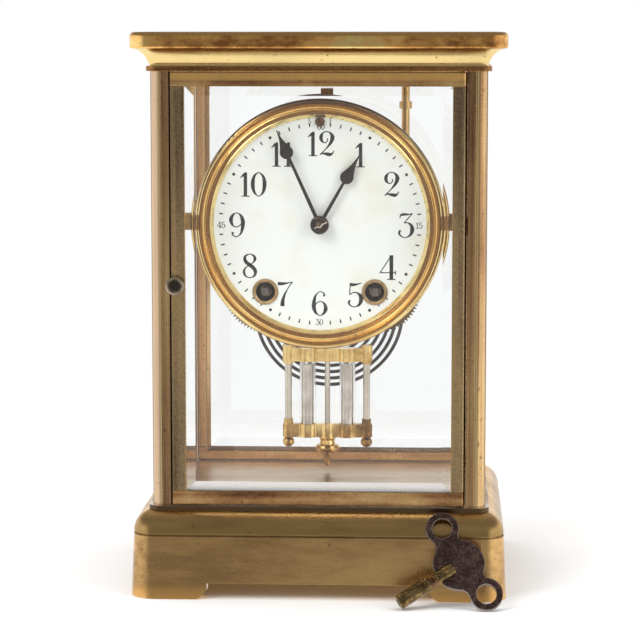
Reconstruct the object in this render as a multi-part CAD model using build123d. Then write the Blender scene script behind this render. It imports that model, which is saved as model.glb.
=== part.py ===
from build123d import *
import math
import os

# Mantel clock, all sizes in mm. Built about the middle of the case: front is -Y, up is +Z,
# the feet stand on z = 0. Every piece is moved back by CASE_BACK when it is written, because
# the key leans on the floor in front of the case and the origin is below the middle of both.

# case
BASE_WIDTH = 174.0
BASE_DEPTH = 148.5
BASE_TAPER = 1.3
BASE_CORNER = 12.0
BASE_WALL = 6.0
FOOT_HEIGHT = 7.5
FOOT_LENGTH = 36.0
FOOT_TOE = 5.5
BODY_TOP = 29.3
GROOVE = 0.9
OVOLO_TOP = 40.0
PLATE_INSET = 8.2
PLATE_THICK = 2.2
PLATE_CORNER = 6.0
CASE_HEIGHT = 260.0
SLAB_INSET = 1.15
SLAB_THICK = 7.5
SLAB_CORNER = 10.0
COVE_HEIGHT = 8.0
COVE_LIP = 0.6
SLAB_ROUND = 2.0
SLAB_NOSE = 1.0
POST_INSET = 1.8
POST_SIZE = 9.0
POST_FLAT = 3.7
POST_STEP = 0.35
PLATE_WIDTH = BASE_WIDTH - 2 * PLATE_INSET
PLATE_DEPTH = BASE_DEPTH - 2 * PLATE_INSET
SLAB_WIDTH = BASE_WIDTH - 2 * SLAB_INSET
SLAB_DEPTH = BASE_DEPTH - 2 * SLAB_INSET
POST_WIDTH = PLATE_WIDTH - 2 * POST_INSET
POST_DEPTH = PLATE_DEPTH - 2 * POST_INSET
FLOOR_TOP = OVOLO_TOP + PLATE_THICK
COVE_BOTTOM = CASE_HEIGHT - SLAB_THICK - COVE_HEIGHT
TOP_PLATE_BOTTOM = COVE_BOTTOM - PLATE_THICK

# clearances
DOOR_GAP = 0.4
RUN_CLEAR = 0.05
FIT_CLEAR = 0.02
BODY_GAP = 0.3

# doors
DOOR_THICK = 6.0
STILE = 6.5
LIP = 2.2
REBATE = 2.0
GLASS_THICK = 3.5
GLASS_EDGE = 2.0
BEVEL = 6.3
PIN_RADIUS = 1.0
PIN_IN_DOOR = 4.0
PIN_INSET = 2.1
PIN_ROOT = 2.0
LATCH_RISE = 2.25
LATCH_INSET = 2.1
KNOB_RADIUS = 4.2
KNOB_LONG = 3.6
LATCH_SHAFT = 1.0
TONGUE_LONG = 4.4
TONGUE_WIDE = 2.6
TONGUE_THICK = 1.2
SIDE_GLASS_INSET = 3.0
SIDE_GROOVE = 2.0
DOOR_BOTTOM = FLOOR_TOP + DOOR_GAP
DOOR_TOP = TOP_PLATE_BOTTOM - DOOR_GAP
DOOR_HALF = POST_WIDTH / 2 - POST_SIZE - DOOR_GAP
DOOR_FACE = -POST_DEPTH / 2
GLASS_BACK = DOOR_FACE + LIP + GLASS_EDGE + (GLASS_THICK - GLASS_EDGE) * REBATE / BEVEL + FIT_CLEAR
PIN_X = DOOR_HALF - PIN_INSET
PIN_Y = DOOR_FACE + PIN_INSET
LATCH_HEIGHT = (DOOR_BOTTOM + DOOR_TOP) / 2 + LATCH_RISE
SIDE_GLASS_OUT = POST_WIDTH / 2 - SIDE_GLASS_INSET

# dial and movement, measured from the middle of the dial
DIAL_DROP = 70.8
DIAL_SIGHT = 49.3
DIAL_EDGE = 1.7
DIAL_THICK = 1.0
DIAL_FEET = 37.0
DIAL_FOOT = 1.5
GLASS_TO_DIAL = 13.55
DIAL_TO_PLATE = 12.0
BEZEL_WIDE = 8.7
PLATE_RADIUS = 46.0
PLATE_SPACING = 40.0
MOVEMENT_PLATE = 2.0
BRACKET_TALL = 8.0
BRACKET_THICK = 3.0
EYELET_RADIUS = 6.1
EYELET_HOLE = 4.4
EYELET_SLEEVE = 5.0
PIVOT = 0.6
REGULATOR_INSET = 1.9
REGULATOR_HEAD = 2.2
REGULATOR_ROD = 1.2
WINDING_ARBOR = 2.2
WINDING_SQUARE = 3.4
PILLAR_RADIUS = 2.5
PILLAR_STUD = 1.4
NUT_SIZE = 3.2
NUT_THICK = 2.5
PILLAR_INSET = 3.7
PILLAR_ANGLES = (11, 169, 49, 131, 270)
DIAL_HEIGHT = TOP_PLATE_BOTTOM - DIAL_DROP
DIAL_RADIUS = DIAL_SIGHT + DIAL_EDGE
DIAL_FACE = GLASS_BACK + GLASS_TO_DIAL
BEZEL_RADIUS = DIAL_SIGHT + BEZEL_WIDE
FRONT_PLATE_Y = DIAL_FACE + DIAL_TO_PLATE
BACK_PLATE_Y = FRONT_PLATE_Y + PLATE_SPACING
BACK_END = BACK_PLATE_Y + MOVEMENT_PLATE
REGULATOR_UP = DIAL_SIGHT - REGULATOR_INSET

# wheels: teeth and modules
GREAT_TEETH = 78
GREAT_MODULE = 0.54
SECOND_TEETH = 72
SECOND_MODULE = 0.42
CENTER_TEETH = 84
CENTER_MODULE = 0.32
THIRD_TEETH = 84
THIRD_MODULE = 0.28
LARGE_LEAVES = 10
SMALL_LEAVES = 7
PIN_WHEEL_TEETH = 64
PIN_WHEEL_MODULE = 0.34
ESCAPE_TEETH = 34
ESCAPE_RADIUS = 9.0
CANNON_TEETH = 12
MINUTE_TEETH = 36
CANNON_MODULE = 0.5
MINUTE_LEAVES = 10
HOUR_TEETH = 40
WHEEL_THICK = 1.5
PINION_LONG = 3.0

# arbors, as (x, z) from the middle of the dial
BARREL_ACROSS = 25.4
BARREL_DOWN = -31.5
VERGE_UP = 36.0
ESCAPE_UP = 19.8
HAMMER_AT = (-33.0, 24.0)
STRIKE_LEAN = 4.1
PIN_WHEEL_HEADING = 60.0
FLY_HEADING = 80.2
MINUTE_HEADING = 60.0

# levels between the plates, front face of each wheel
GREAT_LEVEL = FRONT_PLATE_Y + 4.5
BARREL_BACK = FRONT_PLATE_Y + 28.0
SECOND_LEVEL = FRONT_PLATE_Y + 34.0
CENTER_LEVEL = FRONT_PLATE_Y + 14.0
THIRD_LEVEL = FRONT_PLATE_Y + 8.0
ESCAPE_LEVEL = FRONT_PLATE_Y + 36.5
PIN_WHEEL_LEVEL = FRONT_PLATE_Y + 20.0
FLY_LEVEL = FRONT_PLATE_Y + 25.0

# hands
MINUTE_LONG = 47.7
MINUTE_BLOB = 36.7
HOUR_LONG = 38.0
HOUR_BLOB = 25.2
BLOB_RADIUS = 3.1
STEM_WIDE = 1.4
HAND_THICK = 0.6
MINUTE_REST = 335.5
HOUR_REST = 29.7
COLLET_RADIUS = 4.3
MINUTE_PIPE = 1.6
HOUR_PIPE = 2.6
PIPE_SHOULDER = 0.4
MINUTE_HAND_Y = DIAL_FACE - 4.2
HOUR_HAND_Y = DIAL_FACE - 2.4

# gong
GONG_ROOM = 11.55
GONG_DROP = 51.5
GONG_RADIUS = 36.7
GONG_PITCH = 3.2
GONG_WIRE = 0.85
GONG_TURNS = 6
GONG_ROD = 2.0
GONG_COLLAR = 3.2
COLLAR_THICK = 3.5
COLLAR_DROP = 16.8
BLOCK_RISE = 18.0
BLOCK_TALL = 16.0
GONG_SEAT = 8.0
GONG_Y = -GLASS_BACK - GONG_ROOM
GONG_HEIGHT = DIAL_HEIGHT - GONG_DROP
BLOCK_BOTTOM = GONG_HEIGHT + BLOCK_RISE

# pendulum, halfway or so between the movement and the gong
PENDULUM_SHARE = 0.55
FRAME_TALL = 6.6
FRAME_WIDE = 4.6
FRAME_END = 2.9
FRAME_SWELL = 1.4
CAP_TALL = 1.6
ROD_COLLAR = 2.3
ROD_COLLAR_LONG = 2.6
SIDE_ROD_X = 19.4
JAR_X = 9.8
SIDE_ROD = 1.75
JAR_RADIUS = 4.0
MERCURY_RADIUS = 3.0
MERCURY_GAP = 1.6
ROD_RADIUS = 1.35
FINIAL_RADIUS = 6.1
FINIAL_CLEAR = 2.4
FINIAL_LONG = 15.0
FINIAL_WAIST = 9.4
JAR_LONG = 31.3
SPRING_LONG = 12.0
CRUTCH_LONG = 44.0
PENDULUM_Y = BACK_END + PENDULUM_SHARE * (GONG_Y - BACK_END)
FINIAL_TIP = FLOOR_TOP + FINIAL_CLEAR
FINIAL_RING = FINIAL_TIP + FINIAL_WAIST
LOWER_FRAME = FINIAL_TIP + FINIAL_LONG
UPPER_FRAME = LOWER_FRAME + FRAME_TALL + JAR_LONG
MERCURY_TOP = UPPER_FRAME - MERCURY_GAP

# key
KEY_SPAN = 36.5
KEY_RING = 7.5
KEY_HOLE = 4.6
KEY_BODY = 11.8
KEY_SHIFT = 2.9
KEY_FLAT = 13.8
KEY_FLANK = 5.0
KEY_NOTCH = 2.2
KEY_THICK = 2.2
KEY_START = 6.0
KEY_PIPE = 29.6
KEY_COLLAR = 3.2
KEY_COLLAR_LONG = 9.0
KEY_NECK = 2.0
KEY_NECK_LONG = 4.0
KEY_BEAD = 0.9
KEY_TUBE = 3.4
KEY_LEAN = math.radians(27.5)
KEY_TURN = math.radians(33.5)
KEY_INSET = 19.65
KEY_TOUCH_DROP = 5.0
KEY_MIDDLE = BASE_WIDTH / 2 - KEY_INSET
KEY_FOOT_Y = BASE_TAPER - BASE_DEPTH / 2 - (OVOLO_TOP - KEY_TOUCH_DROP) * math.tan(KEY_LEAN)
KEY_RISE = math.cos(KEY_TURN) * KEY_SPAN / 2 + KEY_RING
KEY_END = KEY_START + KEY_PIPE
KEY_END_RISE = KEY_RISE - KEY_END * math.sin(KEY_TURN)
PIPE_HALF = KEY_TUBE * math.hypot(math.cos(KEY_TURN) * math.sin(KEY_LEAN), math.cos(KEY_LEAN))
PIPE_REACH = KEY_THICK / 2 * math.cos(KEY_LEAN) + PIPE_HALF - KEY_END_RISE * math.sin(KEY_LEAN)
KEY_REACH = -KEY_FOOT_Y + max(KEY_THICK * math.cos(KEY_LEAN), PIPE_REACH)
CASE_BACK = (KEY_REACH - BASE_DEPTH / 2) / 2

DIAL_AT = (0.0, 0.0)
TIME_AT = (BARREL_ACROSS, BARREL_DOWN)
STRIKE_AT = (-BARREL_ACROSS, BARREL_DOWN)
ESCAPE_AT = (0.0, ESCAPE_UP)
VERGE_AT = (0.0, VERGE_UP)


def meet(a, ra, b, rb, side):
    """The point at distance ra from a and rb from b, on the left of a to b if side is 1."""
    dx, dz = b[0] - a[0], b[1] - a[1]
    d = math.hypot(dx, dz)
    along = (d * d + ra * ra - rb * rb) / (2 * d)
    up = math.sqrt(ra * ra - along * along) * side
    return (a[0] + (along * dx - up * dz) / d, a[1] + (along * dz + up * dx) / d)


def mesh_distance(teeth, leaves, module):
    return (teeth + leaves) * module / 2


def toward(at, distance, degrees):
    """The point at a distance from another, counted in degrees up from the right."""
    turn = math.radians(degrees)
    return (at[0] + distance * math.cos(turn), at[1] + distance * math.sin(turn))


GREAT_DISTANCE = mesh_distance(GREAT_TEETH, LARGE_LEAVES, GREAT_MODULE)
SECOND_DISTANCE = mesh_distance(SECOND_TEETH, LARGE_LEAVES, SECOND_MODULE)
CENTER_DISTANCE = mesh_distance(CENTER_TEETH, SMALL_LEAVES, CENTER_MODULE)
THIRD_DISTANCE = mesh_distance(THIRD_TEETH, SMALL_LEAVES, THIRD_MODULE)
PIN_WHEEL_DISTANCE = mesh_distance(PIN_WHEEL_TEETH, SMALL_LEAVES, PIN_WHEEL_MODULE)
MOTION_DISTANCE = mesh_distance(MINUTE_TEETH, CANNON_TEETH, CANNON_MODULE)
HOUR_MODULE = 2 * MOTION_DISTANCE / (HOUR_TEETH + MINUTE_LEAVES)
SECOND_AT = meet(DIAL_AT, SECOND_DISTANCE, TIME_AT, GREAT_DISTANCE, 1)
THIRD_AT = meet(DIAL_AT, CENTER_DISTANCE, ESCAPE_AT, THIRD_DISTANCE, -1)
STRIKE_SECOND_AT = toward(
    STRIKE_AT, GREAT_DISTANCE, 90 + math.degrees(math.asin(STRIKE_LEAN / GREAT_DISTANCE))
)
PIN_WHEEL_AT = toward(STRIKE_SECOND_AT, SECOND_DISTANCE, PIN_WHEEL_HEADING)
FLY_AT = toward(PIN_WHEEL_AT, PIN_WHEEL_DISTANCE, FLY_HEADING)
MINUTE_AT = toward(DIAL_AT, MOTION_DISTANCE, MINUTE_HEADING)
PILLARS = [toward(DIAL_AT, PLATE_RADIUS - PILLAR_INSET, angle) for angle in PILLAR_ANGLES]


def block(x0, x1, y0, y1, z0, z1):
    middle = Pos((x0 + x1) / 2, (y0 + y1) / 2, (z0 + z1) / 2)
    return middle * Box(abs(x1 - x0), abs(y1 - y0), abs(z1 - z0))


def upright(x, y, radius, z0, z1):
    return Pos(x, y, (z0 + z1) / 2) * Cylinder(radius, z1 - z0)


def together(shapes):
    """Separate solids that share a node."""
    return Compound([solid for shape in shapes for solid in shape.solids()])


def crosswise(x, y, z, radius, length):
    return Pos(x, y, z) * Rot(0, 90, 0) * Cylinder(radius, length)


def rod(at, radius, y0, y1):
    """A round bar along Y at a place measured from the middle of the dial."""
    turned = Rot(90, 0, 0) * Cylinder(radius, y1 - y0)
    return Pos(at[0], (y0 + y1) / 2, DIAL_HEIGHT + at[1]) * turned


def plate(outline, at, y0, y1):
    """A flat shape, drawn as (x, z), given thickness from y0 to y1 at a place on the dial."""
    seat = Plane((at[0], y1, DIAL_HEIGHT + at[1]), x_dir=(1, 0, 0), z_dir=(0, -1, 0))
    return extrude(seat * outline, y1 - y0)


def spin(points):
    """A shape turned about Z from an outline of (radius, z) points."""
    face = make_face(Polyline(*[(r, 0, z) for r, z in points], close=True))
    return revolve(face, Axis.Z)


def face_forward(shape, at):
    """Turns a shape made about Z so that its +Z points to the front, at a place on the dial."""
    return Pos(at[0], 0, DIAL_HEIGHT + at[1]) * Rot(90, 0, 0) * shape


def moulded(width, depth, corner, outline):
    """A slab with one moulding all round: outline is a face of (inset from the corner's
    middle, height), turned at the four corners and drawn out along the four sides."""
    x, y = width / 2 - corner, depth / 2 - corner
    upright_face = Plane.XZ * outline
    quarter = revolve(upright_face, Axis.Z, 90)
    long_side = extrude(upright_face, 2 * y)
    short_side = extrude(upright_face, 2 * x)
    low = upright_face.bounding_box().min.Z
    high = upright_face.bounding_box().max.Z
    shape = block(-x, x, -y, y, low, high)
    for turn in range(4):
        across, along = (x, y) if turn % 2 == 0 else (y, x)
        side = long_side if turn % 2 == 0 else short_side
        shape += Rot(0, 0, 90 * turn) * Pos(across, along, 0) * side
        shape += Rot(0, 0, 90 * turn) * Pos(across, along, 0) * quarter
    return shape


def rounded_plate(width, depth, corner, z0, z1):
    return Pos(0, 0, z0) * extrude(RectangleRounded(width, depth, corner), z1 - z0)


def base_outline():
    """Half section of the base: sloping body, groove and quarter-round moulding."""
    out = BASE_CORNER
    body = out - BASE_TAPER
    top = out - (BASE_WIDTH - PLATE_WIDTH) / 2
    ovolo = BODY_TOP + GROOVE
    edge = [
        Line((0, 0), (out, 0)),
        Line((out, 0), (body, BODY_TOP)),
        Line((body, BODY_TOP), (body - GROOVE, BODY_TOP)),
        Line((body - GROOVE, BODY_TOP), (body - GROOVE, ovolo)),
        Line((body - GROOVE, ovolo), (body, ovolo)),
        ThreePointArc(
            (body, ovolo),
            (top + 0.72 * (body - top), ovolo + 0.62 * (OVOLO_TOP - ovolo)),
            (top, OVOLO_TOP),
        ),
        Line((top, OVOLO_TOP), (0, OVOLO_TOP)),
        Line((0, OVOLO_TOP), (0, 0)),
    ]
    return make_face(Curve() + edge)


def foot_opening(length):
    """The gap between two bracket feet: straight above, curving out to the toes below."""
    half = length / 2 - FOOT_LENGTH
    step = 0.42 * FOOT_HEIGHT
    edge = [
        Line((-half, FOOT_HEIGHT), (half, FOOT_HEIGHT)),
        Line((half, FOOT_HEIGHT), (half, FOOT_HEIGHT - step)),
        Line((half, FOOT_HEIGHT - step), (half + 0.8, FOOT_HEIGHT - step)),
        ThreePointArc(
            (half + 0.8, FOOT_HEIGHT - step),
            (half + 0.8 + 0.3 * FOOT_TOE, 0.35 * (FOOT_HEIGHT - step)),
            (half + FOOT_TOE, 0),
        ),
        Line((half + FOOT_TOE, 0), (half + FOOT_TOE, -1)),
        Line((half + FOOT_TOE, -1), (-half - FOOT_TOE, -1)),
        Line((-half - FOOT_TOE, -1), (-half - FOOT_TOE, 0)),
        ThreePointArc(
            (-half - FOOT_TOE, 0),
            (-half - 0.8 - 0.3 * FOOT_TOE, 0.35 * (FOOT_HEIGHT - step)),
            (-half - 0.8, FOOT_HEIGHT - step),
        ),
        Line((-half - 0.8, FOOT_HEIGHT - step), (-half, FOOT_HEIGHT - step)),
        Line((-half, FOOT_HEIGHT - step), (-half, FOOT_HEIGHT)),
    ]
    return make_face(Curve() + edge)


def base_plinth():
    shape = moulded(BASE_WIDTH, BASE_DEPTH, BASE_CORNER, base_outline())
    inner_width = BASE_WIDTH - 2 * BASE_WALL - 2 * BASE_TAPER
    inner_depth = BASE_DEPTH - 2 * BASE_WALL - 2 * BASE_TAPER
    shape -= rounded_plate(inner_width, inner_depth, BASE_CORNER - BASE_WALL, -1, BODY_TOP)
    shape -= Pos(0, BASE_DEPTH, 0) * extrude(Plane.XZ * foot_opening(BASE_WIDTH), 2 * BASE_DEPTH)
    across = Plane((-BASE_WIDTH, 0, 0), x_dir=(0, 1, 0), z_dir=(1, 0, 0))
    shape -= extrude(across * foot_opening(BASE_DEPTH), 2 * BASE_WIDTH)
    for x, y in pin_places():
        shape -= upright(x, y, PIN_RADIUS + FIT_CLEAR, OVOLO_TOP - PIN_ROOT, OVOLO_TOP)
    return shape


def floor_plate():
    shape = rounded_plate(PLATE_WIDTH, PLATE_DEPTH, PLATE_CORNER, OVOLO_TOP, FLOOR_TOP)
    for x, y in pin_places():
        shape -= upright(x, y, PIN_RADIUS + FIT_CLEAR, OVOLO_TOP, FLOOR_TOP)
    return shape


def top_plate():
    shape = rounded_plate(PLATE_WIDTH, PLATE_DEPTH, PLATE_CORNER, TOP_PLATE_BOTTOM, COVE_BOTTOM)
    for x, y in pin_places():
        shape -= upright(x, y, PIN_RADIUS + FIT_CLEAR, TOP_PLATE_BOTTOM, COVE_BOTTOM)
    shape -= upright(gong_rod_x(), GONG_Y, GONG_ROD + FIT_CLEAR, TOP_PLATE_BOTTOM, COVE_BOTTOM)
    return shape


def top_cornice():
    out = SLAB_CORNER
    inner = out - (SLAB_WIDTH - POST_WIDTH) / 2
    cove_top = COVE_BOTTOM + COVE_HEIGHT
    cove_out = out - SLAB_NOSE - COVE_LIP
    crown = CASE_HEIGHT - SLAB_ROUND
    edge = [
        Line((0, COVE_BOTTOM), (inner, COVE_BOTTOM)),
        Line((inner, COVE_BOTTOM), (inner, COVE_BOTTOM + 0.8)),
        ThreePointArc(
            (inner, COVE_BOTTOM + 0.8),
            (inner + 0.3 * (cove_out - inner), COVE_BOTTOM + 0.6 * COVE_HEIGHT),
            (cove_out, cove_top),
        ),
        Line((cove_out, cove_top), (out - SLAB_NOSE, cove_top)),
        RadiusArc((out - SLAB_NOSE, cove_top), (out, cove_top + SLAB_NOSE), -SLAB_NOSE),
        Line((out, cove_top + SLAB_NOSE), (out, crown)),
        RadiusArc((out, crown), (out - SLAB_ROUND, CASE_HEIGHT), -SLAB_ROUND),
        Line((out - SLAB_ROUND, CASE_HEIGHT), (0, CASE_HEIGHT)),
        Line((0, CASE_HEIGHT), (0, COVE_BOTTOM)),
    ]
    shape = moulded(SLAB_WIDTH, SLAB_DEPTH, SLAB_CORNER, make_face(Curve() + edge))
    for x, y in pin_places():
        shape -= upright(x, y, PIN_RADIUS + FIT_CLEAR, COVE_BOTTOM, COVE_BOTTOM + PIN_ROOT)
    return shape


def front_left_post():
    """The post at the front left: two flats, a quarter round between them, and slots for the
    side glass and the latch."""
    x0, y0 = -POST_WIDTH / 2, -POST_DEPTH / 2
    x1, y1 = x0 + POST_SIZE, y0 + POST_SIZE
    radius = POST_SIZE - POST_FLAT
    shape = block(x1 - POST_FLAT, x1, y0, y1, FLOOR_TOP, TOP_PLATE_BOTTOM)
    shape += block(x0, x1, y1 - POST_FLAT, y1, FLOOR_TOP, TOP_PLATE_BOTTOM)
    round_at = (x1 - POST_FLAT, y1 - POST_FLAT)
    quarter = upright(*round_at, radius - POST_STEP, FLOOR_TOP, TOP_PLATE_BOTTOM)
    shape += quarter & block(x0, round_at[0], y0, round_at[1], FLOOR_TOP, TOP_PLATE_BOTTOM)
    glass = -SIDE_GLASS_OUT
    shape -= block(
        glass + 1.0, glass + GLASS_THICK, y1 - SIDE_GROOVE, y1, FLOOR_TOP, TOP_PLATE_BOTTOM
    )
    return shape


def latch_slot():
    """Room in the latch-side post for the latch tongue."""
    back = DOOR_FACE + DOOR_THICK + BODY_GAP
    x1 = -POST_WIDTH / 2 + POST_SIZE
    swing = math.hypot(TONGUE_LONG, TONGUE_WIDE / 2) + BODY_GAP
    depth = swing - LATCH_INSET - DOOR_GAP
    return block(
        x1 - depth,
        x1 + 1,
        back - BODY_GAP,
        back + TONGUE_THICK + BODY_GAP,
        LATCH_HEIGHT - swing,
        LATCH_HEIGHT + TONGUE_WIDE / 2 + BODY_GAP,
    )


def half_turn(shape):
    return Rot(0, 0, 180) * shape


def pin_places():
    return [(PIN_X, PIN_Y), (-PIN_X, -PIN_Y)]


def hinge_pins():
    pins = []
    for x, y in pin_places():
        pins.append(upright(x, y, PIN_RADIUS, OVOLO_TOP - PIN_ROOT, DOOR_BOTTOM + PIN_IN_DOOR))
        pins.append(upright(x, y, PIN_RADIUS, DOOR_TOP - PIN_IN_DOOR, COVE_BOTTOM + PIN_ROOT))
    return together(pins)


def front_door_frame():
    y0, y1 = DOOR_FACE, DOOR_FACE + DOOR_THICK
    opening = DOOR_HALF - STILE
    low, high = DOOR_BOTTOM + STILE, DOOR_TOP - STILE
    shape = block(-DOOR_HALF, DOOR_HALF, y0, y1, DOOR_BOTTOM, DOOR_TOP)
    hinge_edges = shape.edges().filter_by(Axis.Z).sort_by(Axis.X)[-2:].sort_by(Axis.Y)[:1]
    shape = fillet(hinge_edges, PIN_INSET - 0.05)
    shape -= block(-opening, opening, y0, y1, low, high)
    reach = opening + REBATE
    shape -= block(-reach, reach, y0 + LIP, y1, low - REBATE, high + REBATE)
    for z in (low, high):
        for x in (-1, 1):
            shape -= block(x * opening, x * DOOR_HALF, y0, y0 + 0.12, z - 0.1, z + 0.1)
    hole = PIN_RADIUS + RUN_CLEAR
    deep = PIN_IN_DOOR + BODY_GAP
    shape -= upright(PIN_X, PIN_Y, hole, DOOR_BOTTOM, DOOR_BOTTOM + deep)
    shape -= upright(PIN_X, PIN_Y, hole, DOOR_TOP - deep, DOOR_TOP)
    at = (-DOOR_HALF + LATCH_INSET, LATCH_HEIGHT - DIAL_HEIGHT)
    shape -= rod(at, LATCH_SHAFT + RUN_CLEAR, y0, y1)
    return shape


def bevelled(width, height):
    """A pane lying flat, thinner all round its edge on the +Z side."""
    drop = GLASS_THICK - GLASS_EDGE
    shape = Pos(0, 0, GLASS_EDGE / 2) * Box(width, height, GLASS_EDGE)
    low = Pos(0, 0, GLASS_EDGE) * Rectangle(width, height)
    high = Pos(0, 0, GLASS_EDGE + drop) * Rectangle(width - 2 * BEVEL, height - 2 * BEVEL)
    return shape + loft([low, high])


def front_glass():
    width = 2 * (DOOR_HALF - STILE + REBATE)
    height = DOOR_TOP - DOOR_BOTTOM - 2 * STILE + 2 * REBATE
    return Pos(0, GLASS_BACK, (DOOR_TOP + DOOR_BOTTOM) / 2) * Rot(90, 0, 0) * bevelled(width, height)


def side_glass_left():
    width = 2 * (POST_DEPTH / 2 - POST_SIZE + SIDE_GROOVE)
    height = TOP_PLATE_BOTTOM - FLOOR_TOP
    pane = Rot(0, -90, 0) * Rot(0, 0, 90) * bevelled(width, height)
    return Pos(-SIDE_GLASS_OUT + GLASS_THICK, 0, (TOP_PLATE_BOTTOM + FLOOR_TOP) / 2) * pane


def front_latch():
    """A turned knob with a hollow face, its spindle, and the tongue behind the stile."""
    at = (-DOOR_HALF + LATCH_INSET, LATCH_HEIGHT - DIAL_HEIGHT)
    back = DOOR_FACE + DOOR_THICK + BODY_GAP
    start = -(DOOR_FACE - BODY_GAP)
    knob = spin(
        [
            (0, start),
            (2.6, start),
            (2.6, start + 0.8),
            (KNOB_RADIUS, start + 1.4),
            (KNOB_RADIUS, start + KNOB_LONG - 0.6),
            (KNOB_RADIUS - 0.6, start + KNOB_LONG),
            (2.9, start + KNOB_LONG),
            (2.3, start + KNOB_LONG - 0.9),
            (0, start + KNOB_LONG - 0.9),
        ]
    )
    shape = face_forward(knob, at)
    shape += rod(at, LATCH_SHAFT, -start - 0.2, back + TONGUE_THICK)
    x, z = at[0], LATCH_HEIGHT
    wide = TONGUE_WIDE / 2
    shape += block(x - wide, x + wide, back, back + TONGUE_THICK, z - TONGUE_LONG, z + wide)
    return shape


def movement_bracket(side):
    """A bar from post to post inside the side glass, with an arm to the front plate."""
    end = POST_DEPTH / 2 - POST_SIZE
    inner = POST_WIDTH / 2 - POST_SIZE - 1.5
    outer = SIDE_GLASS_OUT - GLASS_THICK - DOOR_GAP
    z = DIAL_HEIGHT
    half = BRACKET_TALL / 2
    behind = FRONT_PLATE_Y + MOVEMENT_PLATE
    on_plate = math.sqrt(PLATE_RADIUS**2 - half**2) - BRACKET_THICK / 5
    shape = block(inner, outer, -end, end, z - half, z + half)
    shape += block(on_plate, inner, behind, behind + BRACKET_THICK, z - half, z + half)
    return shape if side > 0 else mirror(shape, Plane.YZ)


def dial():
    shape = rod(DIAL_AT, DIAL_RADIUS, DIAL_FACE, DIAL_FACE + DIAL_THICK)
    shape -= rod(DIAL_AT, HOUR_PIPE + 2 * PIPE_SHOULDER, DIAL_FACE, DIAL_FACE + DIAL_THICK)
    for at in (TIME_AT, STRIKE_AT):
        shape -= rod(at, EYELET_SLEEVE + FIT_CLEAR, DIAL_FACE, DIAL_FACE + DIAL_THICK)
    hole = REGULATOR_HEAD + RUN_CLEAR
    shape -= rod((0, REGULATOR_UP), hole, DIAL_FACE, DIAL_FACE + DIAL_THICK)
    for angle in (90 + 35, 90 - 35, 270):
        foot = toward(DIAL_AT, DIAL_FEET, angle)
        shape += rod(foot, DIAL_FOOT, DIAL_FACE + DIAL_THICK, FRONT_PLATE_Y)
    return shape


def bezel():
    """A ring of beads and grooves that holds the dial by its rim."""
    y = -DIAL_FACE
    r = BEZEL_RADIUS
    s = DIAL_SIGHT
    seat = DIAL_RADIUS + FIT_CLEAR
    edge = [
        Line((s, 0, y), (s, 0, y + 0.5)),
        Line((s, 0, y + 0.5), (s + 1.6, 0, y + 2.4)),
        Line((s + 1.6, 0, y + 2.4), (s + 2.4, 0, y + 2.0)),
        ThreePointArc((s + 2.4, 0, y + 2.0), (s + 3.5, 0, y + 3.2), (s + 4.6, 0, y + 2.2)),
        Line((s + 4.6, 0, y + 2.2), (s + 4.9, 0, y + 2.2)),
        ThreePointArc((s + 4.9, 0, y + 2.2), (s + 6.1, 0, y + 3.6), (s + 7.2, 0, y + 2.4)),
        Line((s + 7.2, 0, y + 2.4), (s + 7.4, 0, y + 1.4)),
        ThreePointArc((s + 7.4, 0, y + 1.4), (r - 0.35, 0, y + 0.9), (r, 0, y)),
        Line((r, 0, y), (r, 0, y - 2)),
        Line((r, 0, y - 2), (seat, 0, y - 2)),
        Line((seat, 0, y - 2), (seat, 0, y)),
        Line((seat, 0, y), (s, 0, y)),
    ]
    shape = face_forward(revolve(make_face(Curve() + edge), Axis.Z), DIAL_AT)
    return shape - rod((0, REGULATOR_UP), REGULATOR_HEAD + BODY_GAP, -y - 9, -y + 3)


def winding_eyelets():
    y = -DIAL_FACE
    ring = spin(
        [
            (EYELET_HOLE, y - DIAL_THICK),
            (EYELET_SLEEVE, y - DIAL_THICK),
            (EYELET_SLEEVE, y),
            (EYELET_RADIUS, y),
            (EYELET_RADIUS - 0.3, y + 0.6),
            (EYELET_HOLE + 0.5, y + 0.8),
            (EYELET_HOLE, y + 0.4),
        ]
    )
    return together([face_forward(ring, at) for at in (TIME_AT, STRIKE_AT)])


def arbor_places():
    return [
        DIAL_AT,
        SECOND_AT,
        THIRD_AT,
        ESCAPE_AT,
        STRIKE_SECOND_AT,
        PIN_WHEEL_AT,
        FLY_AT,
    ]


def movement_plate(y0):
    y1 = y0 + MOVEMENT_PLATE
    shape = rod(DIAL_AT, PLATE_RADIUS, y0, y1)
    for at in arbor_places():
        shape -= rod(at, PIVOT + RUN_CLEAR, y0, y1)
    for at in (TIME_AT, STRIKE_AT):
        shape -= rod(at, WINDING_ARBOR + RUN_CLEAR, y0, y1)
    for at in (VERGE_AT, HAMMER_AT):
        shape -= rod(at, 0.9 + RUN_CLEAR, y0, y1)
    for at in PILLARS:
        shape -= rod(at, PILLAR_STUD + FIT_CLEAR, y0, y1)
    return shape


def front_plate():
    y0, y1 = FRONT_PLATE_Y, FRONT_PLATE_Y + MOVEMENT_PLATE
    shape = movement_plate(y0) - rod(DIAL_AT, 1.0 + RUN_CLEAR, y0, y1)
    return shape + rod(MINUTE_AT, 0.9, y0 - 7, y0)


def back_plate():
    return movement_plate(BACK_PLATE_Y)


def plate_pillars():
    y0 = FRONT_PLATE_Y
    y1 = y0 + MOVEMENT_PLATE
    pillars = []
    for at in PILLARS:
        bar = rod(at, PILLAR_RADIUS, y1, BACK_PLATE_Y)
        bar += rod(at, PILLAR_STUD, y0 - 0.6, y1)
        bar += rod(at, PILLAR_STUD, BACK_PLATE_Y, BACK_END + NUT_THICK + 0.8)
        pillars.append(bar)
    return together(pillars)


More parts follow.
